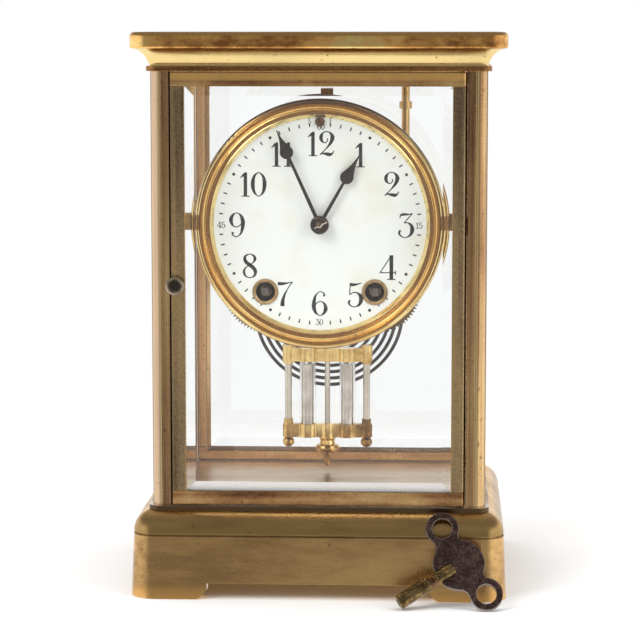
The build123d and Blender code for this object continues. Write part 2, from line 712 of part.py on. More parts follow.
def pillar_nuts():
    hexagon = RegularPolygon(NUT_SIZE, 6) - Circle(PILLAR_STUD + FIT_CLEAR)
    return together([plate(hexagon, at, BACK_END, BACK_END + NUT_THICK) for at in PILLARS])


def suspension_cock():
    """The arm behind the back plate that the pendulum hangs from, with an upright that
    carries the rear end of the regulator arbor."""
    z = DIAL_HEIGHT + VERGE_UP
    cheek = PENDULUM_Y - 4
    shape = block(-4, 4, BACK_END, PENDULUM_Y + 4, z + 3, z + 8)
    shape += block(-6, 6, BACK_END, BACK_END + 2, z + 3, z + 9)
    shape += block(-4, 4, cheek, cheek + 2, z - 2.5, z + 3)
    shape += block(-4, 4, PENDULUM_Y + 2, PENDULUM_Y + 4, z - 2.5, z + 3)
    shape += block(-3, 3, cheek - 4, cheek - 1, z + 8, DIAL_HEIGHT + REGULATOR_UP + 3.5)
    shape -= rod(VERGE_AT, 0.8 + RUN_CLEAR, cheek, PENDULUM_Y + 4)
    shape -= rod((0, REGULATOR_UP), REGULATOR_ROD + RUN_CLEAR, cheek - 4, cheek - 1)
    return shape


def tooth_ring(teeth, root, tip, root_share, tip_share, phase):
    """Outline of a wheel with one tooth's middle at the phase angle, in degrees."""
    points = []
    pitch = 2 * math.pi / teeth
    for tooth in range(teeth):
        middle = math.radians(phase) + tooth * pitch
        for r, share in ((root, -root_share), (tip, -tip_share), (tip, tip_share), (root, root_share)):
            angle = middle + share * pitch
            points.append((r * math.cos(angle), r * math.sin(angle)))
    return make_face(Polyline(*points, close=True))


def wheel_outline(teeth, module, phase):
    r = teeth * module / 2
    return tooth_ring(teeth, r - 1.3 * module, r + 0.75 * module, 0.27, 0.07, phase)


def pinion_outline(leaves, module, phase):
    r = leaves * module / 2
    return tooth_ring(leaves, r - 1.15 * module, r + 0.5 * module, 0.13, 0.10, phase)


def heading(a, b):
    return math.degrees(math.atan2(b[1] - a[1], b[0] - a[0]))


def crossings(outline, inner, outer, spokes):
    """Cuts the windows between the spokes of a wheel."""
    ring = Circle(outer) - Circle(inner)
    for spoke in range(spokes):
        ring -= Rot(0, 0, 360 * spoke / spokes) * Pos(outer / 2, 0) * Rectangle(outer * 1.2, 1.6)
    return outline - ring


def wheel_phase(own, pinion_at):
    return heading(own, pinion_at)


def pinion_phase(own, wheel_at, leaves):
    return heading(own, wheel_at) + 180 / leaves


def arbor(at, radius, y0=FRONT_PLATE_Y + MOVEMENT_PLATE, y1=BACK_PLATE_Y):
    """A bar between the plates with a thinner pivot in each plate."""
    gap = 0.2
    shape = rod(at, radius, y0 + gap, y1 - gap)
    return shape + rod(at, PIVOT, y0 - MOVEMENT_PLATE, y1 + MOVEMENT_PLATE)


def drum(at, pinion_at):
    """A spring barrel with the great wheel at its front end."""
    r = GREAT_TEETH * GREAT_MODULE / 2
    shape = rod(at, r - 2.2, GREAT_LEVEL, BARREL_BACK)
    great = wheel_outline(GREAT_TEETH, GREAT_MODULE, wheel_phase(at, pinion_at))
    shape += plate(great, at, GREAT_LEVEL, GREAT_LEVEL + 2)
    shape += rod(at, 6, BARREL_BACK, BARREL_BACK + 1)
    return shape - rod(at, WINDING_ARBOR + RUN_CLEAR, GREAT_LEVEL, BARREL_BACK + 1)


def winding_arbor(at):
    """A bar through the barrel and both plates, square at the front for the key."""
    shape = rod(at, WINDING_ARBOR, FRONT_PLATE_Y - 2, BACK_END + 0.5)
    square = Rectangle(WINDING_SQUARE, WINDING_SQUARE)
    shape += plate(square, at, DIAL_FACE + 0.4, FRONT_PLATE_Y - 2)
    front = GREAT_LEVEL - 0.4
    return shape + rod(at, 5, front - 1.6, front)


def second_arbor(at, barrel_at, next_at):
    shape = arbor(at, 1.0)
    leaf = pinion_outline(LARGE_LEAVES, GREAT_MODULE, pinion_phase(at, barrel_at, LARGE_LEAVES))
    shape += plate(leaf, at, GREAT_LEVEL - 0.5, GREAT_LEVEL - 0.5 + PINION_LONG)
    outline = wheel_outline(SECOND_TEETH, SECOND_MODULE, wheel_phase(at, next_at))
    outline = crossings(outline, 4, 0.82 * SECOND_TEETH * SECOND_MODULE / 2, 5)
    return shape + plate(outline, at, SECOND_LEVEL, SECOND_LEVEL + WHEEL_THICK)


def center_wheel():
    shape = arbor(DIAL_AT, 1.0)
    shape += rod(DIAL_AT, 1.0, DIAL_FACE - 5.6, FRONT_PLATE_Y + MOVEMENT_PLATE)
    leaf = pinion_outline(LARGE_LEAVES, SECOND_MODULE, pinion_phase(DIAL_AT, SECOND_AT, LARGE_LEAVES))
    shape += plate(leaf, DIAL_AT, SECOND_LEVEL - 0.5, SECOND_LEVEL - 0.5 + PINION_LONG)
    outline = wheel_outline(CENTER_TEETH, CENTER_MODULE, wheel_phase(DIAL_AT, THIRD_AT))
    outline = crossings(outline, 3.5, 0.84 * CENTER_TEETH * CENTER_MODULE / 2, 5)
    return shape + plate(outline, DIAL_AT, CENTER_LEVEL, CENTER_LEVEL + WHEEL_THICK)


def third_wheel():
    shape = arbor(THIRD_AT, 0.7)
    leaf = pinion_outline(SMALL_LEAVES, CENTER_MODULE, pinion_phase(THIRD_AT, DIAL_AT, SMALL_LEAVES))
    shape += plate(leaf, THIRD_AT, CENTER_LEVEL - 0.5, CENTER_LEVEL - 0.5 + PINION_LONG)
    outline = wheel_outline(THIRD_TEETH, THIRD_MODULE, wheel_phase(THIRD_AT, ESCAPE_AT))
    outline = crossings(outline, 3, 0.84 * THIRD_TEETH * THIRD_MODULE / 2, 5)
    return shape + plate(outline, THIRD_AT, THIRD_LEVEL, THIRD_LEVEL + WHEEL_THICK)


def escape_wheel():
    shape = arbor(ESCAPE_AT, 0.62)
    leaf = pinion_outline(SMALL_LEAVES, THIRD_MODULE, pinion_phase(ESCAPE_AT, THIRD_AT, SMALL_LEAVES))
    shape += plate(leaf, ESCAPE_AT, THIRD_LEVEL - 0.5, THIRD_LEVEL - 0.5 + PINION_LONG)
    outline = tooth_ring(ESCAPE_TEETH, 0.83 * ESCAPE_RADIUS, ESCAPE_RADIUS, 0.3, 0.04, 0)
    outline = crossings(outline, 2.4, 0.7 * ESCAPE_RADIUS, 4)
    return shape + plate(outline, ESCAPE_AT, ESCAPE_LEVEL, ESCAPE_LEVEL + 1)


def verge():
    """The pallets over the escape wheel, their arbor, and the crutch that reaches back to
    the pendulum rod."""
    drop = VERGE_UP - ESCAPE_UP
    shape = rod(VERGE_AT, 0.9, FRONT_PLATE_Y, BACK_END + 5)
    tip = 0.62 * ESCAPE_RADIUS
    reach = drop - math.sqrt((ESCAPE_RADIUS + BODY_GAP + 0.25) ** 2 - tip**2)
    edge = [
        (-2, 1.6),
        (2, 1.6),
        (tip + 2.0, -reach + 2.6),
        (tip + 0.7, -reach),
        (tip - 0.6, -reach + 0.9),
        (tip - 1.4, -reach + 3.2),
        (0, -1.9),
        (-tip + 1.4, -reach + 3.2),
        (-tip + 0.6, -reach + 0.9),
        (-tip - 0.7, -reach),
        (-tip - 2.0, -reach + 2.6),
    ]
    pallets = make_face(Polyline(*edge, close=True))
    shape += plate(pallets, VERGE_AT, ESCAPE_LEVEL, ESCAPE_LEVEL + 1)
    z = DIAL_HEIGHT + VERGE_UP
    y = BACK_END + 3
    shape += block(-1.1, 1.1, y, y + 1.2, z - CRUTCH_LONG - 1, z + 1.6)
    pin = (0, VERGE_UP - CRUTCH_LONG)
    shape += rod(pin, 0.6, y + 1.2, PENDULUM_Y - ROD_RADIUS + 0.4)
    return shape - upright(0, PENDULUM_Y, ROD_RADIUS, FINIAL_RING, z)


def cannon_pinion():
    shape = rod(DIAL_AT, MINUTE_PIPE, DIAL_FACE - 5.2, FRONT_PLATE_Y - 0.4)
    shape += rod(DIAL_AT, 2.4, MINUTE_HAND_Y + HAND_THICK, MINUTE_HAND_Y + HAND_THICK + 0.6)
    leaf = pinion_outline(CANNON_TEETH, CANNON_MODULE, heading(DIAL_AT, MINUTE_AT) + 180 / CANNON_TEETH)
    y = FRONT_PLATE_Y - 0.8 - PINION_LONG
    shape += plate(leaf, DIAL_AT, y, y + PINION_LONG)
    return shape - rod(DIAL_AT, 1.0 + RUN_CLEAR, DIAL_FACE - 6, FRONT_PLATE_Y)


def minute_wheel():
    """Turns on a post on the front plate and drives the hour wheel."""
    y = FRONT_PLATE_Y - 3.0
    outline = wheel_outline(MINUTE_TEETH, CANNON_MODULE, wheel_phase(MINUTE_AT, DIAL_AT))
    shape = plate(outline, MINUTE_AT, y, y + WHEEL_THICK)
    leaf = pinion_outline(MINUTE_LEAVES, HOUR_MODULE, pinion_phase(MINUTE_AT, DIAL_AT, MINUTE_LEAVES))
    shape += plate(leaf, MINUTE_AT, y - PINION_LONG, y)
    return shape - rod(MINUTE_AT, 0.9 + RUN_CLEAR, y - 4, y + 2)


def hour_wheel():
    y = FRONT_PLATE_Y - 5.6
    outline = wheel_outline(HOUR_TEETH, HOUR_MODULE, wheel_phase(DIAL_AT, MINUTE_AT))
    shape = plate(outline, DIAL_AT, y, y + 1.2)
    shape += rod(DIAL_AT, HOUR_PIPE, HOUR_HAND_Y, y)
    shape += rod(DIAL_AT, HOUR_PIPE + PIPE_SHOULDER, HOUR_HAND_Y + HAND_THICK, y)
    return shape - rod(DIAL_AT, MINUTE_PIPE + RUN_CLEAR, HOUR_HAND_Y, y + 2)


def hand_outline(length, blob, hub):
    """A spade hand pointing up: hub, tapering stem, round blob with hollow sides to its point."""
    tail = length - blob
    x, z = 0.84 * BLOB_RADIUS, blob + 0.54 * BLOB_RADIUS
    waist = (0.27 * BLOB_RADIUS, blob + 0.56 * tail)
    point = 0.08 * BLOB_RADIUS
    spade = make_face(
        Curve()
        + [
            Line((-x, z), (x, z)),
            ThreePointArc((x, z), waist, (point, length)),
            Line((point, length), (-point, length)),
            ThreePointArc((-point, length), (-waist[0], waist[1]), (-x, z)),
        ]
    )
    stem = make_face(
        Polyline(
            (-0.62 * STEM_WIDE, 0),
            (0.62 * STEM_WIDE, 0),
            (0.45 * STEM_WIDE, blob),
            (-0.45 * STEM_WIDE, blob),
            close=True,
        )
    )
    return Circle(hub) + stem + Pos(0, blob) * Circle(BLOB_RADIUS) + spade


def minute_hand():
    outline = hand_outline(MINUTE_LONG, MINUTE_BLOB, 3.4) - Circle(MINUTE_PIPE + FIT_CLEAR)
    turned = Rot(0, 0, -MINUTE_REST) * outline
    return plate(turned, DIAL_AT, MINUTE_HAND_Y, MINUTE_HAND_Y + HAND_THICK)


def hour_hand():
    outline = hand_outline(HOUR_LONG, HOUR_BLOB, 4.0) - Circle(HOUR_PIPE + FIT_CLEAR)
    turned = Rot(0, 0, -HOUR_REST) * outline
    return plate(turned, DIAL_AT, HOUR_HAND_Y, HOUR_HAND_Y + HAND_THICK)


def hand_collet():
    """The domed washer that holds the minute hand on its pipe."""
    y = -MINUTE_HAND_Y
    bore = MINUTE_PIPE + FIT_CLEAR
    dome = spin(
        [
            (bore, y),
            (COLLET_RADIUS, y),
            (COLLET_RADIUS - 0.2, y + 0.4),
            (3.0, y + 0.9),
            (bore, y + 1.0),
        ]
    )
    return face_forward(dome, DIAL_AT)


def regulator_arbor():
    at = (0, REGULATOR_UP)
    shape = rod(at, REGULATOR_HEAD, DIAL_FACE - 1.5, DIAL_FACE + 4)
    shape += rod(at, REGULATOR_ROD, DIAL_FACE + 4, PENDULUM_Y - 4.5)
    return shape - plate(Rectangle(1.4, 1.4), at, DIAL_FACE - 1.5, DIAL_FACE)


def strike_pin_wheel():
    at = PIN_WHEEL_AT
    shape = arbor(at, 0.9)
    leaf = pinion_outline(LARGE_LEAVES, SECOND_MODULE, pinion_phase(at, STRIKE_SECOND_AT, LARGE_LEAVES))
    shape += plate(leaf, at, SECOND_LEVEL - 0.5, SECOND_LEVEL - 0.5 + PINION_LONG)
    outline = wheel_outline(PIN_WHEEL_TEETH, PIN_WHEEL_MODULE, wheel_phase(at, FLY_AT))
    shape += plate(outline, at, PIN_WHEEL_LEVEL, PIN_WHEEL_LEVEL + WHEEL_THICK)
    y = PIN_WHEEL_LEVEL + WHEEL_THICK
    for pin in range(8):
        shape += rod(toward(at, 8, 45 * pin), 0.5, y, y + 2)
    return shape


def strike_fly():
    at = FLY_AT
    shape = arbor(at, 0.65)
    leaf = pinion_outline(SMALL_LEAVES, PIN_WHEEL_MODULE, pinion_phase(at, PIN_WHEEL_AT, SMALL_LEAVES))
    shape += plate(leaf, at, PIN_WHEEL_LEVEL - 0.5, PIN_WHEEL_LEVEL - 0.5 + PINION_LONG)
    return shape + plate(Rectangle(15, 0.8), at, FLY_LEVEL, FLY_LEVEL + 9)


def gong_hammer():
    """An arm behind the back plate that hangs beside the gong and strikes its outer turn."""
    head_x = -(GONG_RADIUS + GONG_WIRE + 2.0 + 4.0)
    z = DIAL_HEIGHT + HAMMER_AT[1]
    low = GONG_HEIGHT + 8
    shape = rod(HAMMER_AT, 0.9, FRONT_PLATE_Y, GONG_Y + 1)
    lean = math.degrees(math.atan2(head_x - HAMMER_AT[0], z - low))
    long = math.hypot(head_x - HAMMER_AT[0], z - low)
    arm = Pos(0, 0, -long / 2) * Box(2, 1.6, long)
    shape += Pos(HAMMER_AT[0], GONG_Y, z) * Rot(0, -lean, 0) * arm
    return shape + crosswise(head_x, GONG_Y, low, 3.2, 8)


def side_rod_places():
    return (-SIDE_ROD_X, SIDE_ROD_X)


def scalloped(z0):
    """A cross bar of the pendulum, swelling round the jars, the middle rod and the side rods."""
    outline = Rectangle(2 * SIDE_ROD_X, FRAME_WIDE)
    for x in side_rod_places():
        outline += Pos(x, 0) * Circle(FRAME_END)
    for x in (-JAR_X, JAR_X):
        outline += Pos(x, 0) * Circle(JAR_RADIUS + 0.6)
    outline += Circle(2.5 * ROD_RADIUS)
    creases = [v for v in outline.vertices() if abs(abs(v.Y) - FRAME_WIDE / 2) < 0.01]
    outline = fillet(creases, FRAME_SWELL)
    shape = Pos(0, PENDULUM_Y, z0) * extrude(outline, FRAME_TALL)
    return shape - upright(0, PENDULUM_Y, ROD_RADIUS + FIT_CLEAR, z0, z0 + FRAME_TALL)


def side_rod_top():
    return UPPER_FRAME + FRAME_TALL + CAP_TALL / 2


def pendulum_upper_frame():
    shape = scalloped(UPPER_FRAME)
    top = UPPER_FRAME + FRAME_TALL
    for x in side_rod_places():
        shape += upright(x, PENDULUM_Y, FRAME_END, top, top + CAP_TALL)
        shape += upright(x, PENDULUM_Y, ROD_COLLAR, UPPER_FRAME - ROD_COLLAR_LONG / 2, UPPER_FRAME)
        bottom = UPPER_FRAME - ROD_COLLAR_LONG / 2
        shape -= upright(x, PENDULUM_Y, SIDE_ROD + FIT_CLEAR, bottom, side_rod_top() + FIT_CLEAR)
    return shape


def pendulum_lower_frame():
    shape = scalloped(LOWER_FRAME)
    top = LOWER_FRAME + FRAME_TALL
    for x in side_rod_places():
        shape += upright(x, PENDULUM_Y, ROD_COLLAR, top, top + ROD_COLLAR_LONG)
        shape -= upright(x, PENDULUM_Y, SIDE_ROD + FIT_CLEAR, LOWER_FRAME, top + ROD_COLLAR_LONG)
    return shape


def pendulum_jars():
    jars = []
    for x in (-JAR_X, JAR_X):
        low = LOWER_FRAME + FRAME_TALL
        jar = upright(x, PENDULUM_Y, JAR_RADIUS, low, UPPER_FRAME)
        jars.append(jar - upright(x, PENDULUM_Y, MERCURY_RADIUS + FIT_CLEAR, low, UPPER_FRAME))
    return together(jars)


def pendulum_mercury():
    low = LOWER_FRAME + FRAME_TALL
    places = (-JAR_X, JAR_X)
    return together([upright(x, PENDULUM_Y, MERCURY_RADIUS, low, MERCURY_TOP) for x in places])


def pendulum_side_rods():
    high = side_rod_top()
    return together([upright(x, PENDULUM_Y, SIDE_ROD, LOWER_FRAME, high) for x in side_rod_places()])


def pendulum_rod():
    return upright(0, PENDULUM_Y, ROD_RADIUS, LOWER_FRAME, DIAL_HEIGHT + VERGE_UP - SPRING_LONG)


def suspension_spring():
    """A thin strip with a cross pin at the top, which lies in the cock."""
    z = DIAL_HEIGHT + VERGE_UP
    shape = block(-0.2, 0.2, PENDULUM_Y - 1.9, PENDULUM_Y + 1.9, z - SPRING_LONG, z)
    return shape + rod(VERGE_AT, 0.8, PENDULUM_Y - 4, PENDULUM_Y + 4)


def pendulum_finials():
    """The turned drop below the lower frame and the ball nuts on the two side rods."""
    top = LOWER_FRAME
    ring = FINIAL_RING
    drop = spin(
        [
            (0, top),
            (4.3, top),
            (4.3, top - 0.6),
            (3.5, top - 1.6),
            (3.9, ring + 2.1),
            (5.5, ring + 1.6),
            (FINIAL_RADIUS, ring + 0.5),
            (FINIAL_RADIUS, ring - 0.5),
            (5.2, ring - 1.5),
            (3.3, ring - 2.0),
            (3.3, ring - 2.9),
            (2.1, ring - 3.7),
            (1.6, ring - 6.0),
            (1.3, FINIAL_TIP + 1.0),
            (0.6, FINIAL_TIP + 0.2),
            (0, FINIAL_TIP),
        ]
    )
    ball = spin([(0, top), (1.6, top), (2.9, top - 1.6), (2.9, top - 3.2), (1.6, top - 4.8), (0, top - 5.2)])
    turned = [Pos(0, PENDULUM_Y, 0) * drop]
    for x in side_rod_places():
        turned.append(Pos(x, PENDULUM_Y, 0) * ball)
    return together(turned)


def gong_rod_x():
    return GONG_RADIUS + 1.3


def gong_rod():
    x = gong_rod_x()
    shape = upright(x, GONG_Y, GONG_ROD, BLOCK_BOTTOM + BLOCK_TALL, COVE_BOTTOM)
    collar = TOP_PLATE_BOTTOM - COLLAR_DROP
    return shape + upright(x, GONG_Y, GONG_COLLAR, collar - COLLAR_THICK, collar)


def gong_block():
    x = gong_rod_x()
    low, high = BLOCK_BOTTOM, BLOCK_BOTTOM + BLOCK_TALL
    shape = block(x - 4.5, x + 4.5, GONG_Y - 4, GONG_Y + 4, low, high)
    return shape - upright(GONG_RADIUS, GONG_Y, GONG_WIRE + FIT_CLEAR, low, low + GONG_SEAT)


def gong_path():
    """Half circles of falling radius, each meeting the last, after a straight riser."""
    x, r = GONG_RADIUS, GONG_RADIUS
    z = GONG_HEIGHT
    path = [Line((x, GONG_Y, BLOCK_BOTTOM + GONG_SEAT), (x, GONG_Y, z))]
    side = -1
    for half in range(2 * GONG_TURNS):
        middle = x + side * r
        path.append(
            ThreePointArc((x, GONG_Y, z), (middle, GONG_Y, z + side * r), (x + side * 2 * r, GONG_Y, z))
        )
        x += side * 2 * r
        r -= GONG_PITCH / 2
        side = -side
    return path


def gong_coil():
    path = gong_path()
    start = Plane((GONG_RADIUS, GONG_Y, BLOCK_BOTTOM + GONG_SEAT), x_dir=(1, 0, 0), z_dir=(0, 0, -1))
    return sweep(start * Circle(GONG_WIRE), Wire(path))


def gong_gap():
    """Least distance between turns of the gong that lie next to each other."""
    rings = []
    for arc in gong_path()[1:]:
        rings.append([arc @ (step / 60) for step in range(61)])
    least = GONG_RADIUS
    for first in range(len(rings)):
        for second in range(first + 2, len(rings)):
            for a in rings[first]:
                for b in rings[second]:
                    least = min(least, (a - b).length)
    return least - 2 * GONG_WIRE


def lean(shape):
    """Puts a key drawn flat, as (across, up), against the front of the base."""
    turned = Rot(0, 0, math.degrees(KEY_TURN)) * shape
    tilted = Rot(90 - math.degrees(KEY_LEAN), 0, 0) * Pos(0, KEY_RISE, 0) * turned
    return Pos(KEY_MIDDLE, KEY_FOOT_Y, 0) * tilted


def key_outline():
    """Two rings and a round middle, with hollow flanks towards the pipe and a flat at its edge."""
    outline = Pos(-KEY_SHIFT, 0) * Circle(KEY_BODY)
    for side in (-1, 1):
        outline += Pos(0, side * KEY_SPAN / 2) * Circle(KEY_RING)
    waist = [v for v in outline.vertices() if abs(v.Y) > KEY_BODY / 2 and abs(v.Y) < KEY_SPAN / 2 - 1]
    outline = fillet([v for v in waist if v.X < -KEY_SHIFT / 2], KEY_FLANK)
    waist = [v for v in outline.vertices() if abs(v.Y) > KEY_BODY / 2 and abs(v.Y) < KEY_SPAN / 2 - 1]
    outline = fillet([v for v in waist if v.X > 0], KEY_NOTCH)
    for side in (-1, 1):
        outline -= Pos(0, side * KEY_SPAN / 2) * Circle(KEY_HOLE)
    return outline - Pos(-KEY_FLAT - KEY_RING / 2, 0) * Rectangle(KEY_RING, 2 * KEY_BODY)


def key_wings():
    shape = extrude(key_outline(), KEY_THICK)
    return lean(shape - block(-KEY_END, -KEY_START, -KEY_COLLAR, KEY_COLLAR, 0, KEY_THICK))


def key_pipe():
    """A collar on the plate, a thin neck between two beads, and the tube for the square."""
    neck = KEY_START + KEY_COLLAR_LONG
    tube = neck + KEY_NECK_LONG
    bead = (KEY_COLLAR + KEY_NECK) / 2
    bar = spin(
        [
            (0, KEY_START),
            (KEY_COLLAR, KEY_START),
            (KEY_COLLAR, neck),
            (bead, neck),
            (bead, neck + KEY_BEAD),
            (KEY_NECK, neck + KEY_BEAD),
            (KEY_NECK, tube - KEY_BEAD),
            (bead, tube - KEY_BEAD),
            (bead, tube),
            (KEY_TUBE, tube),
            (KEY_TUBE, KEY_END),
            (0, KEY_END),
        ]
    )
    square = WINDING_SQUARE + 4 * RUN_CLEAR
    hole = 0.5 * (KEY_END - tube)
    bar -= Pos(0, 0, KEY_END - hole / 2) * Box(square, square, hole)
    return lean(Pos(0, 0, KEY_THICK / 2) * Rot(0, -90, 0) * bar)


def pieces():
    left_post = front_left_post()
    latch_post = left_post - latch_slot()
    right_post = mirror(left_post, Plane.YZ)
    door = front_door_frame()
    glass = front_glass()
    latch = front_latch()
    side = side_glass_left()
    return {
        "base_plinth": base_plinth(),
        "floor_plate": floor_plate(),
        "corner_post_front_left": latch_post,
        "corner_post_front_right": right_post,
        "corner_post_rear_left": half_turn(right_post),
        "corner_post_rear_right": half_turn(latch_post),
        "top_plate": top_plate(),
        "top_cornice": top_cornice(),
        "side_glass_left": side,
        "side_glass_right": half_turn(side),
        "hinge_pins": hinge_pins(),
        "movement_bracket_left": movement_bracket(-1),
        "movement_bracket_right": movement_bracket(1),
        "gong_rod": gong_rod(),
        "gong_block": gong_block(),
        "gong_coil": gong_coil(),
        "dial": dial(),
        "bezel": bezel(),
        "winding_eyelets": winding_eyelets(),
        "front_plate": front_plate(),
        "back_plate": back_plate(),
        "plate_pillars": plate_pillars(),
        "pillar_nuts": pillar_nuts(),
        "suspension_cock": suspension_cock(),
        "front_door_frame": door,
        "front_glass": glass,
        "front_latch": latch,
        "rear_door_frame": half_turn(door),
        "rear_glass": half_turn(glass),
        "rear_latch": half_turn(latch),
        "minute_hand": minute_hand(),
        "cannon_pinion": cannon_pinion(),
        "hand_collet": hand_collet(),
        "hour_hand": hour_hand(),
        "hour_wheel": hour_wheel(),
        "minute_wheel": minute_wheel(),
        "regulator_arbor": regulator_arbor(),
        "time_winding_arbor": winding_arbor(TIME_AT),
        "strike_winding_arbor": winding_arbor(STRIKE_AT),
        "time_barrel": drum(TIME_AT, SECOND_AT),
        "strike_barrel": drum(STRIKE_AT, STRIKE_SECOND_AT),
        "second_wheel": second_arbor(SECOND_AT, TIME_AT, DIAL_AT),
        "center_wheel": center_wheel(),
        "third_wheel": third_wheel(),
        "escape_wheel": escape_wheel(),
        "strike_second_wheel": second_arbor(STRIKE_SECOND_AT, STRIKE_AT, PIN_WHEEL_AT),
        "strike_pin_wheel": strike_pin_wheel(),
        "strike_fly": strike_fly(),
        "gong_hammer": gong_hammer(),
        "verge": verge(),
        "suspension_spring": suspension_spring(),
        "pendulum_rod": pendulum_rod(),
        "pendulum_upper_frame": pendulum_upper_frame(),
        "pendulum_lower_frame": pendulum_lower_frame(),
        "pendulum_jars": pendulum_jars(),
        "pendulum_mercury": pendulum_mercury(),
        "pendulum_side_rods": pendulum_side_rods(),
        "pendulum_finials": pendulum_finials(),
        "key_wings": key_wings(),
        "key_pipe": key_pipe(),
    }


os.makedirs("parts", exist_ok=True)
for node, shape in pieces().items():
    export_step(Pos(0, CASE_BACK, 0) * shape, f"parts/{node}.step")
print("least gap between turns of the gong, mm:", round(gong_gap(), 2))
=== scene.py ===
"""Looks of a brass mantel clock with four glasses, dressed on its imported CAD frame."""

import math

import bpy
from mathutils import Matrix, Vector

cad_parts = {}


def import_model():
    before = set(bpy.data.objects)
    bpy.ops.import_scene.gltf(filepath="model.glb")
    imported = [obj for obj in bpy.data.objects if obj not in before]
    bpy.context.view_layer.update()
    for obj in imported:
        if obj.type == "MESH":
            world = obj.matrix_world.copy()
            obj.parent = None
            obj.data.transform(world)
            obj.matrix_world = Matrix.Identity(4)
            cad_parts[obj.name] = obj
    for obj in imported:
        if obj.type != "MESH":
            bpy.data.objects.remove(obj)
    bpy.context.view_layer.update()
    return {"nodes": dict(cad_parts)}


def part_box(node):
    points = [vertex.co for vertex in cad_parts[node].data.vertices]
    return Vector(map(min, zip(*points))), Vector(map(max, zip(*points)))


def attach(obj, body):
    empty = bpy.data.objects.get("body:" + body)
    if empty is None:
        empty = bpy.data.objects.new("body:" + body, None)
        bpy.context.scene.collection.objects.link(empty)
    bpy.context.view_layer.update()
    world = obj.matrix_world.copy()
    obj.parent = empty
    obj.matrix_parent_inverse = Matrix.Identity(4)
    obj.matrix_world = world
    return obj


MM = 0.001
BLACK, WHITE = (0, 0, 0, 1), (1, 1, 1, 1)

# camera, floor and lights
CAMERA_AT = Vector((57.0, -1190.6, 262.0)) * MM
CAMERA_AIM = Vector((0.9, -55.1, 129.0)) * MM
CAMERA_LENS = 140.7
SENSOR = 36.0
FLOOR_WHITE = (0.94, 0.94, 0.94, 1.0)
FLOOR_CLEAR = (0.16, 0.6)  # metres from the middle where the floor starts and ends to fade
SIGHT_LIGHT, SOFT_LIGHT = 1.0, 0.55  # the world as the camera sees it, and as it lights the clock
LAMPS = {  # place, aim, size and power
    "key_light": ((-0.9, -1.0, 1.2), (0, 0, 0.12), (0.9, 0.9), 14.0),
    "fill_light": ((1.1, -0.8, 0.7), (0, 0, 0.12), (0.7, 1.0), 6.0),
    "top_light": ((0.0, 0.1, 1.4), (0, 0, 0.1), (1.2, 1.2), 12.0),
}

# brass: how its streaks are stretched along each axis, how many to the metre, and where on its
# scale of tones the dark, middle and bright colours stand
EVEN, UPRIGHT, ACROSS = (1, 1, 1), (1, 1, 0.02), (0.02, 1, 1)
LEAST_STRETCH = 0.35
STREAKS, GRAIN, PITS = 260.0, 1500.0, 330.0
TONE_REACH = 0.2
TONE_STOPS = (0.12, 0.5, 0.92)

# places on the case in mm; the lists are of (place, share) pairs
DOOR_JOINTS = (49.1, 235.4)  # heights where the stiles meet the rails
DOOR_EDGES = (67.6, 42.6, 241.9)  # side, bottom and top
POST_SIDES = (68.0, 77.0)  # inner and outer
# the posts' painted gap shade runs only this far back from the front, along Y
POST_FRONT = [(-54.4, 1), (-50.8, 1), (-50.4, 0)]
# a painted highlight on each post's arris between its round and its flat, along |X|
POST_ARRIS_HIGHLIGHT = [(72.1, 0), (72.3, 0.85), (72.8, 0.85), (73.1, 0)]
LATCH_AT = (65.5, 144.5)
LATCH_HOLE = [(0, 1), (2.3, 1), (2.6, 0), (4, 0)]
# a painted reflection: where the floor plate is paler at the front, along Y
FLOOR_FRONT_REFLECTION = [(-56, 0.9), (-46, 0.9), (-40, 0)]

# how much painted dark reflection lies in rings on the bezel, and painted shade on its upper rim,
# by mm from the middle of the dial
BEZEL_DARK_RINGS = [
    (49.3, 0), (51.2, 0), (51.7, 1), (52.8, 1), (53.1, 0), (54.3, 0),
    (54.6, 1), (55.8, 1), (56.1, 0), (57.6, 0), (57.9, 0.9), (58.2, 0.9),
]
BEZEL_RIM_SHADE = [(56.4, 0), (57.0, 0.85), (58.2, 0.85)]

# dial print, in mm from the middle of the dial
PRINT_LIFT = 0.03
FIGURE_HEIGHT = 11.4
FIGURE_PLACES = {
    1: (18.4, 32.2), 2: (33.0, 18.6), 3: (39.3, -0.4), 4: (31.4, -19.9),
    5: (16.0, -32.8), 6: (-0.4, -36.9), 7: (-16.3, -32.5), 8: (-33.0, -19.4),
    9: (-38.9, -0.4), 10: (-31.4, 18.5), 11: (-17.7, 32.4), 12: (0.3, 37.3),
}
TRACK_RADIUS = 46.1
DASH = (1.8, 0.62)
DOT_RADIUS = 0.72
SMALL_FIGURE = 2.8
SMALL_FIGURES = {15: (45.8, -0.4), 30: (-0.4, -45.6), 45: (-45.9, -0.4), 60: (0.4, 45.1)}
LETTER_HEIGHT = 2.4
LETTER_PLACES = {"S": (-4.9, 47.7), "F": (5.0, 47.7)}

# the winding key: middle of its plate, the ways its pipe points and its plate faces, where the neck
# lies along the pipe, and the rivet's place along both ways
KEY_MIDDLE = Vector((67.35, -70.8, 20.15))
KEY_AXIS = Vector((-0.834, -0.255, -0.490))
KEY_FACE = Vector((0.0, -0.887, 0.462))
KEY_NECK = (14.9, 19.1)
KEY_RIVET = (9.6, 4.2)
RIVET_OUTLINE = [(0.0, -0.45), (0.45, -0.4), (0.85, -0.2), (1.05, 0.1), (1.05, 0.5), (0.0, 0.5)]

# at the hands: radius and length of the arbor's end, how far it stands out, and the bent pin
ARBOR_TIP = (1.6, 1.2)
ARBOR_RISE = 0.15
PIN_WIRE = 0.24
PIN_BENDS = [(-2.4, -1.5), (-0.9, -0.75), (0.4, -1.0), (1.4, 0.4), (3.5, 1.4)]

# the eyelets: radius of a rim, and bore, outside and hole of the dark sleeve behind it, which
# stands in as painted shade
EYELET_RIM = 6.1
SLEEVE = (4.4, 4.8, 2.8)
SLEEVE_FLOOR = 0.5

